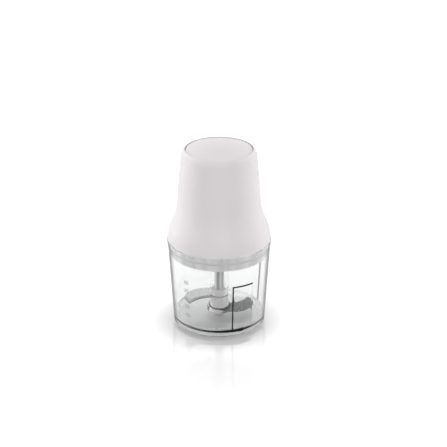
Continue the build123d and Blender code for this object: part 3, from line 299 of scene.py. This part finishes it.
def from_axis(tree, place, start, finish):
    """A pattern that rises from 0 to 1 between two distances from the turning axis."""
    flat = tree.nodes.new("ShaderNodeVectorMath")
    flat.operation = "MULTIPLY"
    flat.inputs[1].default_value = (1.0, 1.0, 0.0)
    tree.links.new(place, flat.inputs[0])
    reach = tree.nodes.new("ShaderNodeVectorMath")
    reach.operation = "LENGTH"
    tree.links.new(flat.outputs["Vector"], reach.inputs[0])
    return between(tree, reach.outputs["Value"], 0.0, 1.0, start, finish)


def near_edges(tree, reach):
    """A pattern that rises from 0 on flat faces to 1 at the edges of a piece."""
    bevel = tree.nodes.new("ShaderNodeBevel")
    bevel.samples = EDGE_SAMPLES
    bevel.inputs["Radius"].default_value = reach
    flat = tree.nodes.new("ShaderNodeNewGeometry").outputs["True Normal"]
    match = tree.nodes.new("ShaderNodeVectorMath")
    match.operation = "DOT_PRODUCT"
    tree.links.new(bevel.outputs["Normal"], match.inputs[0])
    tree.links.new(flat, match.inputs[1])
    return between(tree, match.outputs["Value"], 1.0, 0.0, *EDGE_MATCH)


# Finishes


def surface(tree, shader, colour, gleam, height, strength, depth):
    """Give a shader its colour, its roughness and fine relief from a pattern."""
    tree.links.new(colour, shader.inputs["Base Color"])
    tree.links.new(gleam, shader.inputs["Roughness"])
    bump = tree.nodes.new("ShaderNodeBump")
    bump.inputs["Strength"].default_value = strength
    bump.inputs["Distance"].default_value = depth
    tree.links.new(height, bump.inputs["Height"])
    tree.links.new(bump.outputs["Normal"], shader.inputs["Normal"])


def moulded(
    name,
    dark,
    light,
    gloss,
    grain_depth=FINE_DEPTH,
    worn_edges=(),
    flow=EVEN,
    sheen=0.0,
    specular=0.5,
):
    """A moulded plastic: faint colour drift, uneven gloss, mould grain and rubbed edges."""
    finish, tree, shader, place = start_finish(name)
    shader.inputs["Sheen Weight"].default_value = sheen
    shader.inputs["Specular IOR Level"].default_value = specular
    tone = between(tree, mottle(tree, place, MOULDED_DRIFT, stretch=flow), 0.0, 1.0)
    gleam = between(tree, mottle(tree, place, MOULDED_GLEAM, detail=4.0), *gloss)
    if worn_edges:
        marks = mottle(tree, place, RUBBED_MARKS, detail=3.0)
        edges = near_heights(tree, place, worn_edges, RUBBED_REACH)
        rubbed = worked(tree, "MULTIPLY", edges, marks)
        tone = worked(tree, "ADD", tone, rubbed)
        gleam = worked(tree, "SUBTRACT", gleam, worked(tree, "MULTIPLY", rubbed, RUBBED_GLEAM))
    grain = mottle(tree, place, MOULDED_GRAIN)
    body = shades(tree, tone, dark, light)
    surface(tree, shader, body, gleam, grain, SOFT_RELIEF, grain_depth)
    return finish


def fluted(name, dark, light, gloss):
    """A splined plastic shaft: dark in its flutes, rubbed pale on its lobes."""
    finish, tree, shader, place = start_finish(name)
    lobe = from_axis(tree, place, SPLINE_ROOT, SPLINE_TIP)
    streak = mottle(tree, place, FLUTED_STREAKS, detail=3.0, stretch=FLUTED_STRETCH)
    rubbed = worked(tree, "MULTIPLY", lobe, between(tree, streak, *FLUTED_RUBBED))
    body = shades(tree, rubbed, dark, light)
    surface(tree, shader, body, between(tree, streak, *gloss), streak, SOFT_RELIEF, FLUTED_DEPTH)
    return finish


def metal(name, dark, light, gloss, stretch, scale=METAL_LINES, edge_shade=None):
    """A metal with lines along one direction and, if asked, dark edges beyond a blade's root."""
    finish, tree, shader, place = start_finish(name)
    shader.inputs["Metallic"].default_value = 1.0
    lines = mottle(tree, place, scale, detail=3.0, stretch=stretch)
    body = shades(tree, lines, dark, light)
    if edge_shade:
        free_part = from_axis(tree, place, *BLADE_ROOT)
        edges = worked(tree, "MULTIPLY", near_edges(tree, EDGE_REACH), free_part)
        body = shades(tree, edges, body, edge_shade)
    surface(tree, shader, body, between(tree, lines, *gloss), lines, METAL_RELIEF, FINE_DEPTH)
    return finish


def clear(name, gloss, edge_shade=None, milky_from=None):
    """A clear moulding with fine marks and, if asked, dark edge on or milky from a height."""
    finish, tree, shader, place = start_finish(name)
    shader.inputs["IOR"].default_value = CLEAR_IOR
    shader.inputs["Transmission Weight"].default_value = 1.0
    if milky_from:
        level = height_of(tree, place)
        share = between(tree, level, 1.0, MILKY_SHARE, milky_from, milky_from + MILKY_FADE)
        tree.links.new(share, shader.inputs["Transmission Weight"])
    body = shades(tree, mottle(tree, place, CLEAR_DRIFT), *CLEAR_SHADES)
    if edge_shade:
        tilt = tree.nodes.new("ShaderNodeLayerWeight").outputs["Facing"]
        body = shades(tree, between(tree, tilt, 0.0, 1.0, *CLEAR_EDGE_ON), body, edge_shade)
    gleam = between(tree, mottle(tree, place, CLEAR_MARKS, detail=4.0), *gloss)
    waves = mottle(tree, place, CLEAR_WAVES)
    surface(tree, shader, body, gleam, waves, CLEAR_RELIEF, CLEAR_DEPTH)
    return finish


def frosted(name, dark, light, gloss):
    """A milky plastic that lets light through and scatters it."""
    finish, tree, shader, place = start_finish(name)
    shader.inputs["IOR"].default_value = FROSTED_IOR
    shader.inputs["Transmission Weight"].default_value = FROSTED_SHARE
    drift = mottle(tree, place, FROSTED_DRIFT, detail=3.0)
    body = shades(tree, drift, dark, light)
    grain = mottle(tree, place, FROSTED_GRAIN)
    surface(tree, shader, body, between(tree, drift, *gloss), grain, SOFT_RELIEF, FINE_DEPTH)
    return finish


CLEAR = clear("clear_moulding", (0.0, 0.02))
CLEAR_WALL = clear("clear_wall", (0.0, 0.02), edge_shade=(0.03, 0.03, 0.03))
SATIN = clear("clear_satin", (0.28, 0.4))
STEM = clear("clear_stem", (0.0, 0.02), milky_from=STEM_MILKY)
# A near-black painted line: the shade that refraction shows at the window's edges and round the
# base
PAINTED_DARK_LINE = moulded(
    "painted_refraction_shade_line", (0.008, 0.008, 0.009), (0.016, 0.016, 0.017), (0.3, 0.45), specular=0.1
)
# Pale frosting: a painted highlight on the rim's top, and painted light over the dark refraction
# of the floor's inner corner
PAINTED_HIGHLIGHT_FROST = frosted("frosted_painted_highlight", (0.95, 0.95, 0.955), (0.99, 0.99, 0.99), (0.25, 0.4))
# Grey painted line on the rib's flank: the shade that refraction shows at its edge
RIB_PAINTED_SHADE = moulded("rib_edge_painted_shade", (0.38, 0.38, 0.385), (0.48, 0.48, 0.485), (0.3, 0.45))
BOWL_FINISHES = [CLEAR, CLEAR_WALL, PAINTED_DARK_LINE, PAINTED_HIGHLIGHT_FROST, SATIN, RIB_PAINTED_SHADE]
SCALE_PRINT = moulded("scale_print", (0.36, 0.36, 0.37), (0.44, 0.44, 0.45), (0.4, 0.55))
SLEEVE = moulded("pale_sleeve", (0.88, 0.86, 0.88), (0.95, 0.93, 0.95), (0.3, 0.45))
SHAFT = fluted("splined_shaft", (0.36, 0.36, 0.365), (0.94, 0.93, 0.94), (0.25, 0.4))
# The lower blade's steel, the same steel as the upper blade's but painted darker for the shade and
# dark reflection it shows
SHADED_BLADE_STEEL = metal(
    "blade_steel_painted_shade", (0.10, 0.10, 0.105), (0.17, 0.17, 0.175), (0.2, 0.34), (1.0, 0.08, 1.0)
)

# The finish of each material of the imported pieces, and of the pieces that have their own
FINISHES = {
    "clear_plastic": CLEAR,
    "white_plastic": moulded(
        "white_satin",
        (0.85, 0.815, 0.825),
        (0.865, 0.83, 0.84),
        (0.20, 0.25),
        grain_depth=0.003 * MM,
        worn_edges=WHITE_EDGES,
    ),
    "lid_grey": moulded(
        "lid_pale_grey",
        (0.50, 0.49, 0.495),
        (0.92, 0.90, 0.91),
        (0.3, 0.4),
        worn_edges=LID_EDGES,
        flow=(2.0, 2.0, 0.1),
        sheen=0.6,
    ),
    "grey_plastic": moulded("mid_grey", (0.36, 0.36, 0.375), (0.42, 0.42, 0.435), (0.3, 0.42)),
    "black_plastic": moulded(
        "black_moulding", (0.012, 0.012, 0.013), (0.02, 0.02, 0.021), (0.35, 0.5)
    ),
    "gear_plastic": moulded("gear_acetal", (0.72, 0.70, 0.64), (0.78, 0.76, 0.70), (0.35, 0.5)),
    "seal_rubber": moulded("pale_silicone", (0.64, 0.64, 0.645), (0.70, 0.70, 0.705), (0.5, 0.65)),
    "blade_steel": metal(
        "ground_blade_steel",
        (0.52, 0.52, 0.53),
        (0.70, 0.70, 0.71),
        (0.16, 0.3),
        (1.0, 0.08, 1.0),
        edge_shade=(0.03, 0.03, 0.032),
    ),
    "steel": metal(
        "turned_steel", (0.46, 0.46, 0.47), (0.60, 0.60, 0.61), (0.2, 0.36), (1.0, 1.0, 0.1)
    ),
    "lamination_steel": metal(
        "stacked_laminations",
        (0.30, 0.30, 0.31),
        (0.44, 0.44, 0.45),
        (0.4, 0.55),
        (0.05, 0.05, 1.0),
        LAMINATION_LINES,
    ),
    "bronze": metal(
        "sintered_bronze",
        (0.38, 0.24, 0.11),
        (0.52, 0.34, 0.17),
        (0.35, 0.5),
        EVEN,
        SINTERED_GRAIN,
    ),
    "copper_wire": metal(
        "lacquered_copper", (0.42, 0.15, 0.06), (0.60, 0.24, 0.10), (0.25, 0.4), (1.0, 1.0, 0.2)
    ),
    "carbon": moulded("brush_carbon", (0.02, 0.02, 0.02), (0.045, 0.045, 0.045), (0.5, 0.7)),
    "capacitor_case": moulded(
        "capacitor_case", (0.05, 0.09, 0.24), (0.08, 0.13, 0.32), (0.3, 0.45)
    ),
}
NODE_FINISHES = {
    "blade_hub": STEM,
    "hub_core": SLEEVE,
    "output_shaft": SHAFT,
    "drive_dog": SHAFT,
    "lower_blade": SHADED_BLADE_STEEL,
}


def dress_frame():
    """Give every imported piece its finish."""
    for node, piece in NODES.items():
        for slot in piece.material_slots:
            slot.material = NODE_FINISHES.get(node, FINISHES[slot.material.name])


# Pieces


def add_object(name, data):
    """A new object in the scene."""
    item = bpy.data.objects.new(name, data)
    bpy.context.scene.collection.objects.link(item)
    return item


def add_piece(name, mesh, finishes, body, replaced=()):
    """Add a finished mesh as a piece that rides on a body and stands for CAD nodes."""
    piece = add_object(name, mesh)
    if not mesh.materials:
        for finish in finishes:
            mesh.materials.append(finish)
    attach(piece, body)
    if replaced:
        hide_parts(*replaced)
    return piece


def merged_mesh(name, work, outward=False, smooth=False):
    """A mesh of what was worked, with points that meet made one."""
    bmesh.ops.remove_doubles(work, verts=work.verts, dist=MERGE_REACH)
    if outward:
        bmesh.ops.recalc_face_normals(work, faces=work.faces)
    mesh = bpy.data.meshes.new(name)
    work.to_mesh(mesh)
    work.free()
    if smooth:
        mesh.shade_smooth()
        mesh.set_sharp_from_angle(angle=SHARP_ANGLE)
    return mesh


def evaluated_mesh(maker):
    """The evaluated mesh of an object that was only needed to make it."""
    bpy.context.view_layer.update()
    evaluated = maker.evaluated_get(bpy.context.evaluated_depsgraph_get())
    mesh = bpy.data.meshes.new_from_object(evaluated)
    bpy.data.objects.remove(maker)
    return mesh


def rounded(corners):
    """An outline of corners with a radius, a height and a rounding each, 0 for a sharp one."""
    outline = []
    for index, (*spot, rounding) in enumerate(corners):
        corner = Vector(spot)
        before = Vector(corners[index - 1][:2])
        after = Vector(corners[(index + 1) % len(corners)][:2])
        if rounding == 0:
            outline.append(corner)
            continue
        to_before = (before - corner).normalized()
        to_after = (after - corner).normalized()
        half = acos(max(-1.0, min(1.0, to_before.dot(to_after)))) / 2
        reach = rounding / tan(half)
        middle = corner + (to_before + to_after).normalized() * (rounding / sin(half))
        start = corner + to_before * reach - middle
        finish = corner + to_after * reach - middle
        sweep = pi - 2 * half
        turn = 1 if start.cross(finish) > 0 else -1
        for step in range(ROUND_STEPS + 1):
            angle = turn * sweep * step / ROUND_STEPS
            spoke = Vector((
                start.x * cos(angle) - start.y * sin(angle),
                start.x * sin(angle) + start.y * cos(angle),
            ))
            outline.append(middle + spoke)
    return held(outline)


def held(outline):
    """An outline with a point near each end of its long stretches, so that they shade flat."""
    points = []
    for index, start in enumerate(outline):
        finish = outline[(index + 1) % len(outline)]
        points.append(start)
        stretch = finish - start
        on_axis = max(start.x, finish.x) == 0
        if stretch.length > LONG_STRETCH and not on_axis:
            points.append(start + stretch.normalized() * HOLD)
            points.append(finish - stretch.normalized() * HOLD)
    return points


def turned_mesh(name, outline, turns, proud, painted, finishes):
    """A closed outline of radius and height turned about Z, with points on the axis merged."""
    work = bmesh.new()
    rings = []
    for turn in turns:
        ring = []
        for radius, height in outline:
            reach = radius + proud(turn, radius, height)
            ring.append(work.verts.new((reach * cos(turn), reach * sin(turn), height)))
        rings.append(ring)
    for index, ring in enumerate(rings):
        following = rings[(index + 1) % len(rings)]
        for point in range(len(ring)):
            nxt = (point + 1) % len(ring)
            if outline[point][0] == 0 and outline[nxt][0] == 0:
                continue
            face = work.faces.new((ring[point], following[point], following[nxt], ring[nxt]))
            radius = (outline[point][0] + outline[nxt][0]) / 2
            height = (outline[point][1] + outline[nxt][1]) / 2
            paint = painted(turns[index] + PAINT_TURN, radius, height)
            face.material_index = finishes.index(paint)
    return merged_mesh(name, work, outward=True, smooth=True)


def bowl_outside(height):
    """Radius of the bowl's tapered wall at a height."""
    return FOOT_RADIUS + (RIM_RADIUS - FOOT_RADIUS) * height / RIM_TOP


# How far round the wall the sloped sides of the window and the rib reach
WINDOW_SLOPE = WINDOW_EDGE / bowl_outside(WINDOW_TOP)
RIB_SLOPE = RIB_EDGE / bowl_outside(RIB_TOP)


def on_outside(radius, height):
    """Whether a point of the bowl's outline is on the outside of its wall."""
    return radius > bowl_outside(height) - BOWL_WALL / 2


def by_wall(radius, height):
    """Whether a point of the bowl's outline is on its wall and not further in."""
    return radius > bowl_outside(height) - 2 * BOWL_WALL


def ramp(distance, edge):
    """0 outside a raised area, 1 on it, sloped over its edge."""
    return max(0.0, min(1.0, distance / edge))


def wall_relief(turn, radius, height):
    """How far the level window and the inner rib move the wall's two surfaces."""
    if on_outside(radius, height):
        side = min(turn - WINDOW_FROM, WINDOW_TO - turn) * radius
        upright = min(height - WINDOW_BOTTOM, WINDOW_TOP - height)
        return WINDOW_PROUD * ramp(min(side, upright), WINDOW_EDGE)
    if by_wall(radius, height) and height > FLOOR_TOP:
        side = min(turn - RIB_FROM, RIB_TO - turn) * radius
        return -RIB_PROUD * ramp(min(side, RIB_TOP - height), RIB_EDGE)
    return 0.0


def outside_paint(turn, height):
    """The finish of a face on the outside of the wall, with its painted dark lines of refraction
    shade.
    """
    if height < FOOT_ROUND:
        return CLEAR
    # Painted shade: the dark line round the front of the base
    rise = ramp(turn - LINE_FROM, LINE_THICKEST - LINE_FROM)
    fall = ramp(LINE_TO - turn, LINE_TO - LINE_THICKEST)
    if abs(height - LINE_HEIGHT) < LINE_THICKNESS / 2 * min(rise, fall) ** LINE_SWELL:
        return PAINTED_DARK_LINE
    # The window's left, low and high edges take the painted dark line, the shade that refraction
    # shows there
    if WINDOW_FROM < turn < WINDOW_TO and WINDOW_BOTTOM < height < WINDOW_TOP:
        left = turn < WINDOW_FROM + WINDOW_SLOPE
        low = height < WINDOW_BOTTOM + WINDOW_EDGE
        high = height > WINDOW_TOP - WINDOW_EDGE
        if left or low or high:
            return PAINTED_DARK_LINE
    return CLEAR_WALL


def inside_paint(turn, radius, height):
    """The finish of a face on the underside, the floor or the inside of the wall."""
    corner_top = FLOOR_TOP + INNER_ROUND
    if height < FLOOR_UNDERSIDE + HOLD:
        return SATIN
    if by_wall(radius, height) and RIB_FROM < turn < RIB_TO and corner_top < height < RIB_TOP:
        # The rib's flank takes a painted shade line
        flank = (turn - RIB_FROM) * radius < RIB_EDGE
        return RIB_PAINTED_SHADE if flank else CLEAR
    # The floor's inner corner takes the pale frosting, painted light over its dark refraction
    in_corner = radius > bowl_outside(FLOOR_TOP) - BOWL_WALL - INNER_ROUND
    if in_corner and FLOOR_TOP < height < corner_top:
        return PAINTED_HIGHLIGHT_FROST
    return CLEAR


def wall_paint(turn, radius, height):
    """The finish of a face of the bowl."""
    # The rim's top takes the pale frosting, a painted highlight
    if height > RIM_TOP - BOWL_EDGE:
        return PAINTED_HIGHLIGHT_FROST
    if on_outside(radius, height):
        return outside_paint(turn, height)
    return inside_paint(turn, radius, height)


def make_bowl():
    """The clear bowl: thick base on a foot ring, pin boss, tapered wall, bead and window."""
    line_bottom = LINE_HEIGHT - LINE_THICKNESS / 2
    wall_heights = [line_bottom + LINE_THICKNESS * row / LINE_ROWS for row in range(LINE_ROWS + 1)]
    wall_heights += [WINDOW_BOTTOM, WINDOW_BOTTOM + WINDOW_EDGE]
    wall_heights += [WINDOW_TOP - WINDOW_EDGE, WINDOW_TOP, RIM_TOP - BEAD_BLEND]
    foot_inside = FOOT_RADIUS - FOOT_RING_WIDTH
    bead_bottom = RIM_TOP - BEAD_HEIGHT
    rib_shoulder = RIB_TOP - RIB_EDGE
    outline = rounded([
        (0.0, BOSS_UNDERSIDE, 0.0),
        (BOSS_RADIUS, BOSS_UNDERSIDE, BOWL_EDGE),
        (BOSS_RADIUS, FLOOR_UNDERSIDE, BOWL_EDGE),
        (foot_inside, FLOOR_UNDERSIDE, BOWL_EDGE),
        (foot_inside, 0.0, BOWL_EDGE),
        (FOOT_RADIUS, 0.0, FOOT_ROUND),
        *((bowl_outside(height), height, 0.0) for height in sorted(wall_heights)),
        (BEAD_RADIUS, bead_bottom + BEAD_PROUD, BEAD_ROUND),
        (BEAD_RADIUS, RIM_TOP, BOWL_EDGE),
        (RIM_RADIUS - BOWL_WALL, RIM_TOP, BOWL_EDGE),
        (bowl_outside(RIB_TOP) - BOWL_WALL, RIB_TOP, 0.0),
        (bowl_outside(rib_shoulder) - BOWL_WALL, rib_shoulder, 0.0),
        (bowl_outside(FLOOR_TOP) - BOWL_WALL, FLOOR_TOP, INNER_ROUND),
        (BOSS_RADIUS, FLOOR_TOP, BOWL_EDGE),
        (BOSS_RADIUS, BOSS_TOP, BOWL_EDGE),
        (PIN_BORE, BOSS_TOP, 0.0),
        (PIN_BORE, PIN_BOTTOM, 0.0),
        (0.0, PIN_BOTTOM, 0.0),
    ])
    turns = [2 * pi * step / TURN_STEPS - pi for step in range(TURN_STEPS)]
    turns += [WINDOW_FROM, WINDOW_FROM + WINDOW_SLOPE, WINDOW_TO - WINDOW_SLOPE, WINDOW_TO]
    turns += [RIB_FROM, RIB_FROM + RIB_SLOPE, RIB_TO - RIB_SLOPE, RIB_TO]
    turns.sort()
    mesh = turned_mesh("bowl_clear", outline, turns, wall_relief, wall_paint, BOWL_FINISHES)
    return add_piece("bowl_clear", mesh, BOWL_FINISHES, "bowl", ["bowl"])


def scale_tree():
    """Nodes that stack the scale's ticks and lay them round the tapered wall."""
    tree = bpy.data.node_groups.new("scale_ticks", "GeometryNodeTree")
    tree.interface.new_socket("Geometry", in_out="OUTPUT", socket_type="NodeSocketGeometry")
    values = {
        "Count": SCALE_COUNT,
        "Lowest": SCALE_LOWEST,
        "Spacing": SCALE_SPACING,
        "Length": TICK_LENGTH,
        "Height": TICK_HEIGHT,
        "Proud": TICK_PROUD,
        "Turn": SCALE_TURN,
        "Foot Radius": FOOT_RADIUS,
        "Rim Radius": RIM_RADIUS,
        "Rim Height": RIM_TOP,
    }
    settings = {}
    for name, value in values.items():
        kind = "NodeSocketInt" if isinstance(value, int) else "NodeSocketFloat"
        socket = tree.interface.new_socket(name, in_out="INPUT", socket_type=kind)
        settings[socket.identifier] = value
    sizes = tree.nodes.new("NodeGroupInput").outputs
    output = tree.nodes.new("NodeGroupOutput")

    def combined(x, y, z):
        node = tree.nodes.new("ShaderNodeCombineXYZ")
        for socket, value in zip(node.inputs, (x, y, z)):
            if value is not None:
                tree.links.new(value, socket)
        return node.outputs["Vector"]

    # A tick on each point of an upright column
    column = tree.nodes.new("GeometryNodeMeshLine")
    tree.links.new(sizes["Count"], column.inputs["Count"])
    tree.links.new(combined(None, None, sizes["Lowest"]), column.inputs["Start Location"])
    tree.links.new(combined(None, None, sizes["Spacing"]), column.inputs["Offset"])
    tick = tree.nodes.new("GeometryNodeMeshCube")
    tick.inputs["Vertices X"].default_value = TICK_COLUMNS
    tree.links.new(combined(sizes["Length"], sizes["Proud"], sizes["Height"]), tick.inputs["Size"])
    stack = tree.nodes.new("GeometryNodeInstanceOnPoints")
    tree.links.new(column.outputs["Mesh"], stack.inputs["Points"])
    tree.links.new(tick.outputs["Mesh"], stack.inputs["Instance"])
    real = tree.nodes.new("GeometryNodeRealizeInstances")
    tree.links.new(stack.outputs["Instances"], real.inputs["Geometry"])

    # The wall's radius at the height of each point, and the point's turn round it
    split = tree.nodes.new("ShaderNodeSeparateXYZ")
    spot = tree.nodes.new("GeometryNodeInputPosition")
    tree.links.new(spot.outputs["Position"], split.inputs["Vector"])
    wall = tree.nodes.new("ShaderNodeMapRange")
    tree.links.new(split.outputs["Z"], wall.inputs["Value"])
    tree.links.new(sizes["Rim Height"], wall.inputs["From Max"])
    tree.links.new(sizes["Foot Radius"], wall.inputs["To Min"])
    tree.links.new(sizes["Rim Radius"], wall.inputs["To Max"])
    reach = worked(tree, "SUBTRACT", wall.outputs["Result"], split.outputs["Y"])
    turn = worked(tree, "ADD", sizes["Turn"], worked(tree, "DIVIDE", split.outputs["X"], reach))

    # The ticks laid on the wall and printed
    across = worked(tree, "MULTIPLY", reach, worked(tree, "COSINE", turn))
    along = worked(tree, "MULTIPLY", reach, worked(tree, "SINE", turn))
    laid = tree.nodes.new("GeometryNodeSetPosition")
    tree.links.new(real.outputs["Geometry"], laid.inputs["Geometry"])
    tree.links.new(combined(across, along, split.outputs["Z"]), laid.inputs["Position"])
    printed = tree.nodes.new("GeometryNodeSetMaterial")
    printed.inputs["Material"].default_value = SCALE_PRINT
    tree.links.new(laid.outputs["Geometry"], printed.inputs["Geometry"])
    tree.links.new(printed.outputs["Geometry"], output.inputs["Geometry"])
    return tree, settings


def make_ticks():
    """The printed ticks of the scale."""
    maker = add_object("tick_maker", bpy.data.meshes.new("tick_maker"))
    tree, settings = scale_tree()
    modifier = maker.modifiers.new("scale_ticks", "NODES")
    modifier.node_group = tree
    for identifier, value in settings.items():
        modifier[identifier] = value
    mesh = evaluated_mesh(maker)
    mesh.name = "scale_ticks"
    add_piece("scale_ticks", mesh, [SCALE_PRINT], "bowl")


def make_numbers():
    """The printed numbers of the scale, laid round the wall above their ticks."""
    work = bmesh.new()
    for mark in range(SCALE_COUNT):
        words = bpy.data.curves.new("scale_number", "FONT")
        words.body = str(SCALE_STEP * (mark + 1))
        words.size = NUMBER_SIZE
        words.extrude = PRINT_THICKNESS
        words.resolution_u = NUMBER_STEPS
        words.align_x = "CENTER"
        mesh = evaluated_mesh(add_object("number_maker", words))
        base = SCALE_LOWEST + mark * SCALE_SPACING + NUMBER_LIFT
        for spot in mesh.vertices:
            across, up, out = spot.co
            height = base + up
            reach = bowl_outside(height) + PRINT_THICKNESS + out
            turn = SCALE_TURN + across / reach
            spot.co = (reach * cos(turn), reach * sin(turn), height)
        work.from_mesh(mesh)
        bpy.data.meshes.remove(mesh)
    mesh = merged_mesh("scale_numbers", work)
    add_piece("scale_numbers", mesh, [SCALE_PRINT], "bowl")


def make_spring():
    """The return spring, which shortens as the push cap goes down."""
    work = bmesh.new()
    work.from_mesh(NODES["return_spring"].data)
    mesh = merged_mesh("return_spring_coil", work, smooth=True)
    steel = FINISHES["steel"]
    spring = add_piece("return_spring_coil", mesh, [steel], "motor_unit", ["return_spring"])
    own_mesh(spring)


# Studio


def studio_place(side, back, height):
    """A place in the studio: to the right of the view, behind the object, and up."""
    right = Vector((cos(CAMERA_AZIMUTH), sin(CAMERA_AZIMUTH), 0.0))
    away = Vector((-sin(CAMERA_AZIMUTH), cos(CAMERA_AZIMUTH), 0.0))
    return right * side + away * back + Vector((0.0, 0.0, height))


def make_ground():
    """A pale glossy ground, lifted to white where it is seen and less so near the object, a
    painted contact shadow.
    """
    finish, tree, shader = start_finish("floor")[:3]
    shader.inputs["Base Color"].default_value = GROUND_COLOUR
    shader.inputs["Roughness"].default_value = GROUND_GLOSS
    shader.inputs["IOR"].default_value = GROUND_IOR
    shader.inputs["Emission Color"].default_value = WHITE
    rays = tree.nodes.new("ShaderNodeLightPath").outputs
    shade = tree.nodes.new("ShaderNodeAmbientOcclusion")
    shade.samples = SHADE_SAMPLES
    shade.inputs["Distance"].default_value = SHADE_REACH
    seen = worked(tree, "MULTIPLY", rays["Is Camera Ray"], GROUND_SEEN)
    beyond = worked(tree, "MULTIPLY", rays["Is Transmission Ray"], GROUND_OPEN)
    # Ambient occlusion takes the lift down near the object: a painted contact shadow
    ao_shadow_fade = worked(tree, "POWER", shade.outputs["AO"], SHADE_POWER)
    lift = worked(tree, "MULTIPLY", worked(tree, "ADD", seen, beyond), ao_shadow_fade)
    through = worked(tree, "MULTIPLY", rays["Is Transmission Ray"], GROUND_THROUGH)
    mirrored = worked(tree, "MULTIPLY", rays["Is Glossy Ray"], GROUND_MIRRORED)
    lift = worked(tree, "ADD", worked(tree, "ADD", lift, through), mirrored)
    tree.links.new(lift, shader.inputs["Emission Strength"])
    half = GROUND_HALF
    signs = ((-1, -1), (1, -1), (1, 1), (-1, 1))
    mesh = bpy.data.meshes.new("floor")
    mesh.from_pydata([(x * half, y * half, GROUND_LEVEL) for x, y in signs], [], [(0, 1, 2, 3)])
    mesh.materials.append(finish)
    ground = add_object("floor", mesh)


def make_world():
    """An even white world, full white where it is seen, mirrored or looked at through glass."""
    world = bpy.data.worlds.new("studio")
    bpy.context.scene.world = world
    world.use_nodes = True
    tree = world.node_tree
    rays = tree.nodes.new("ShaderNodeLightPath").outputs
    seen = worked(tree, "MAXIMUM", rays["Is Camera Ray"], rays["Is Glossy Ray"])
    seen = worked(tree, "MAXIMUM", seen, rays["Is Transmission Ray"])
    level = between(tree, seen, WORLD_LEVEL, 1.0, 0.0, 1.0)
    tree.nodes["Background"].inputs["Color"].default_value = WHITE
    tree.links.new(level, tree.nodes["Background"].inputs["Strength"])


def left_out(name, pieces):
    """A collection of pieces that a lamp leaves out."""
    group = bpy.data.collections.new(name)
    for piece in pieces:
        group.objects.link(piece)
    for item in group.collection_objects:
        item.light_linking.link_state = "EXCLUDE"
    return group


def make_lamps(bowl):
    """Soft lamps from both sides behind, from above, from the front and from behind.

    Their light goes through the clear pieces, and the lamp behind is kept off the white shell.
    """
    clear_pieces = left_out("clear_pieces", (bowl, NODES["blade_hub"]))
    shell = left_out("shell", (NODES["outer_housing"], NODES["push_cap"]))
    for name, side, back, height, width, length, power in LAMPS:
        light = bpy.data.lights.new(name, "AREA")
        light.shape = "RECTANGLE"
        light.size = width
        light.size_y = length
        light.energy = power
        lamp = add_object(name, light)
        lamp.location = studio_place(side, back, height)
        aim = Vector((0.0, 0.0, LAMP_AIM)) - lamp.location
        lamp.rotation_euler = aim.to_track_quat("-Z", "Y").to_euler()
        lamp.visible_glossy = False
        lamp.visible_transmission = False
        lamp.light_linking.blocker_collection = clear_pieces
        if name == "back_lamp":
            lamp.light_linking.receiver_collection = shell


def make_camera():
    """The photograph's view."""
    camera = add_object("camera", bpy.data.cameras.new("camera"))
    camera.data.lens = LENS
    camera.data.sensor_width = SENSOR_WIDTH
    camera.location = studio_place(CAMERA_SIDE, -CAMERA_BACK, CAMERA_HEIGHT)
    camera.rotation_euler = (pi / 2 - CAMERA_PITCH, 0.0, CAMERA_AZIMUTH)
    bpy.context.scene.camera = camera


dress_frame()
clear_bowl = make_bowl()
make_ticks()
make_numbers()
make_spring()
make_ground()
make_world()
make_lamps(clear_bowl)
make_camera()
bpy.context.scene.view_settings.view_transform = "Standard"
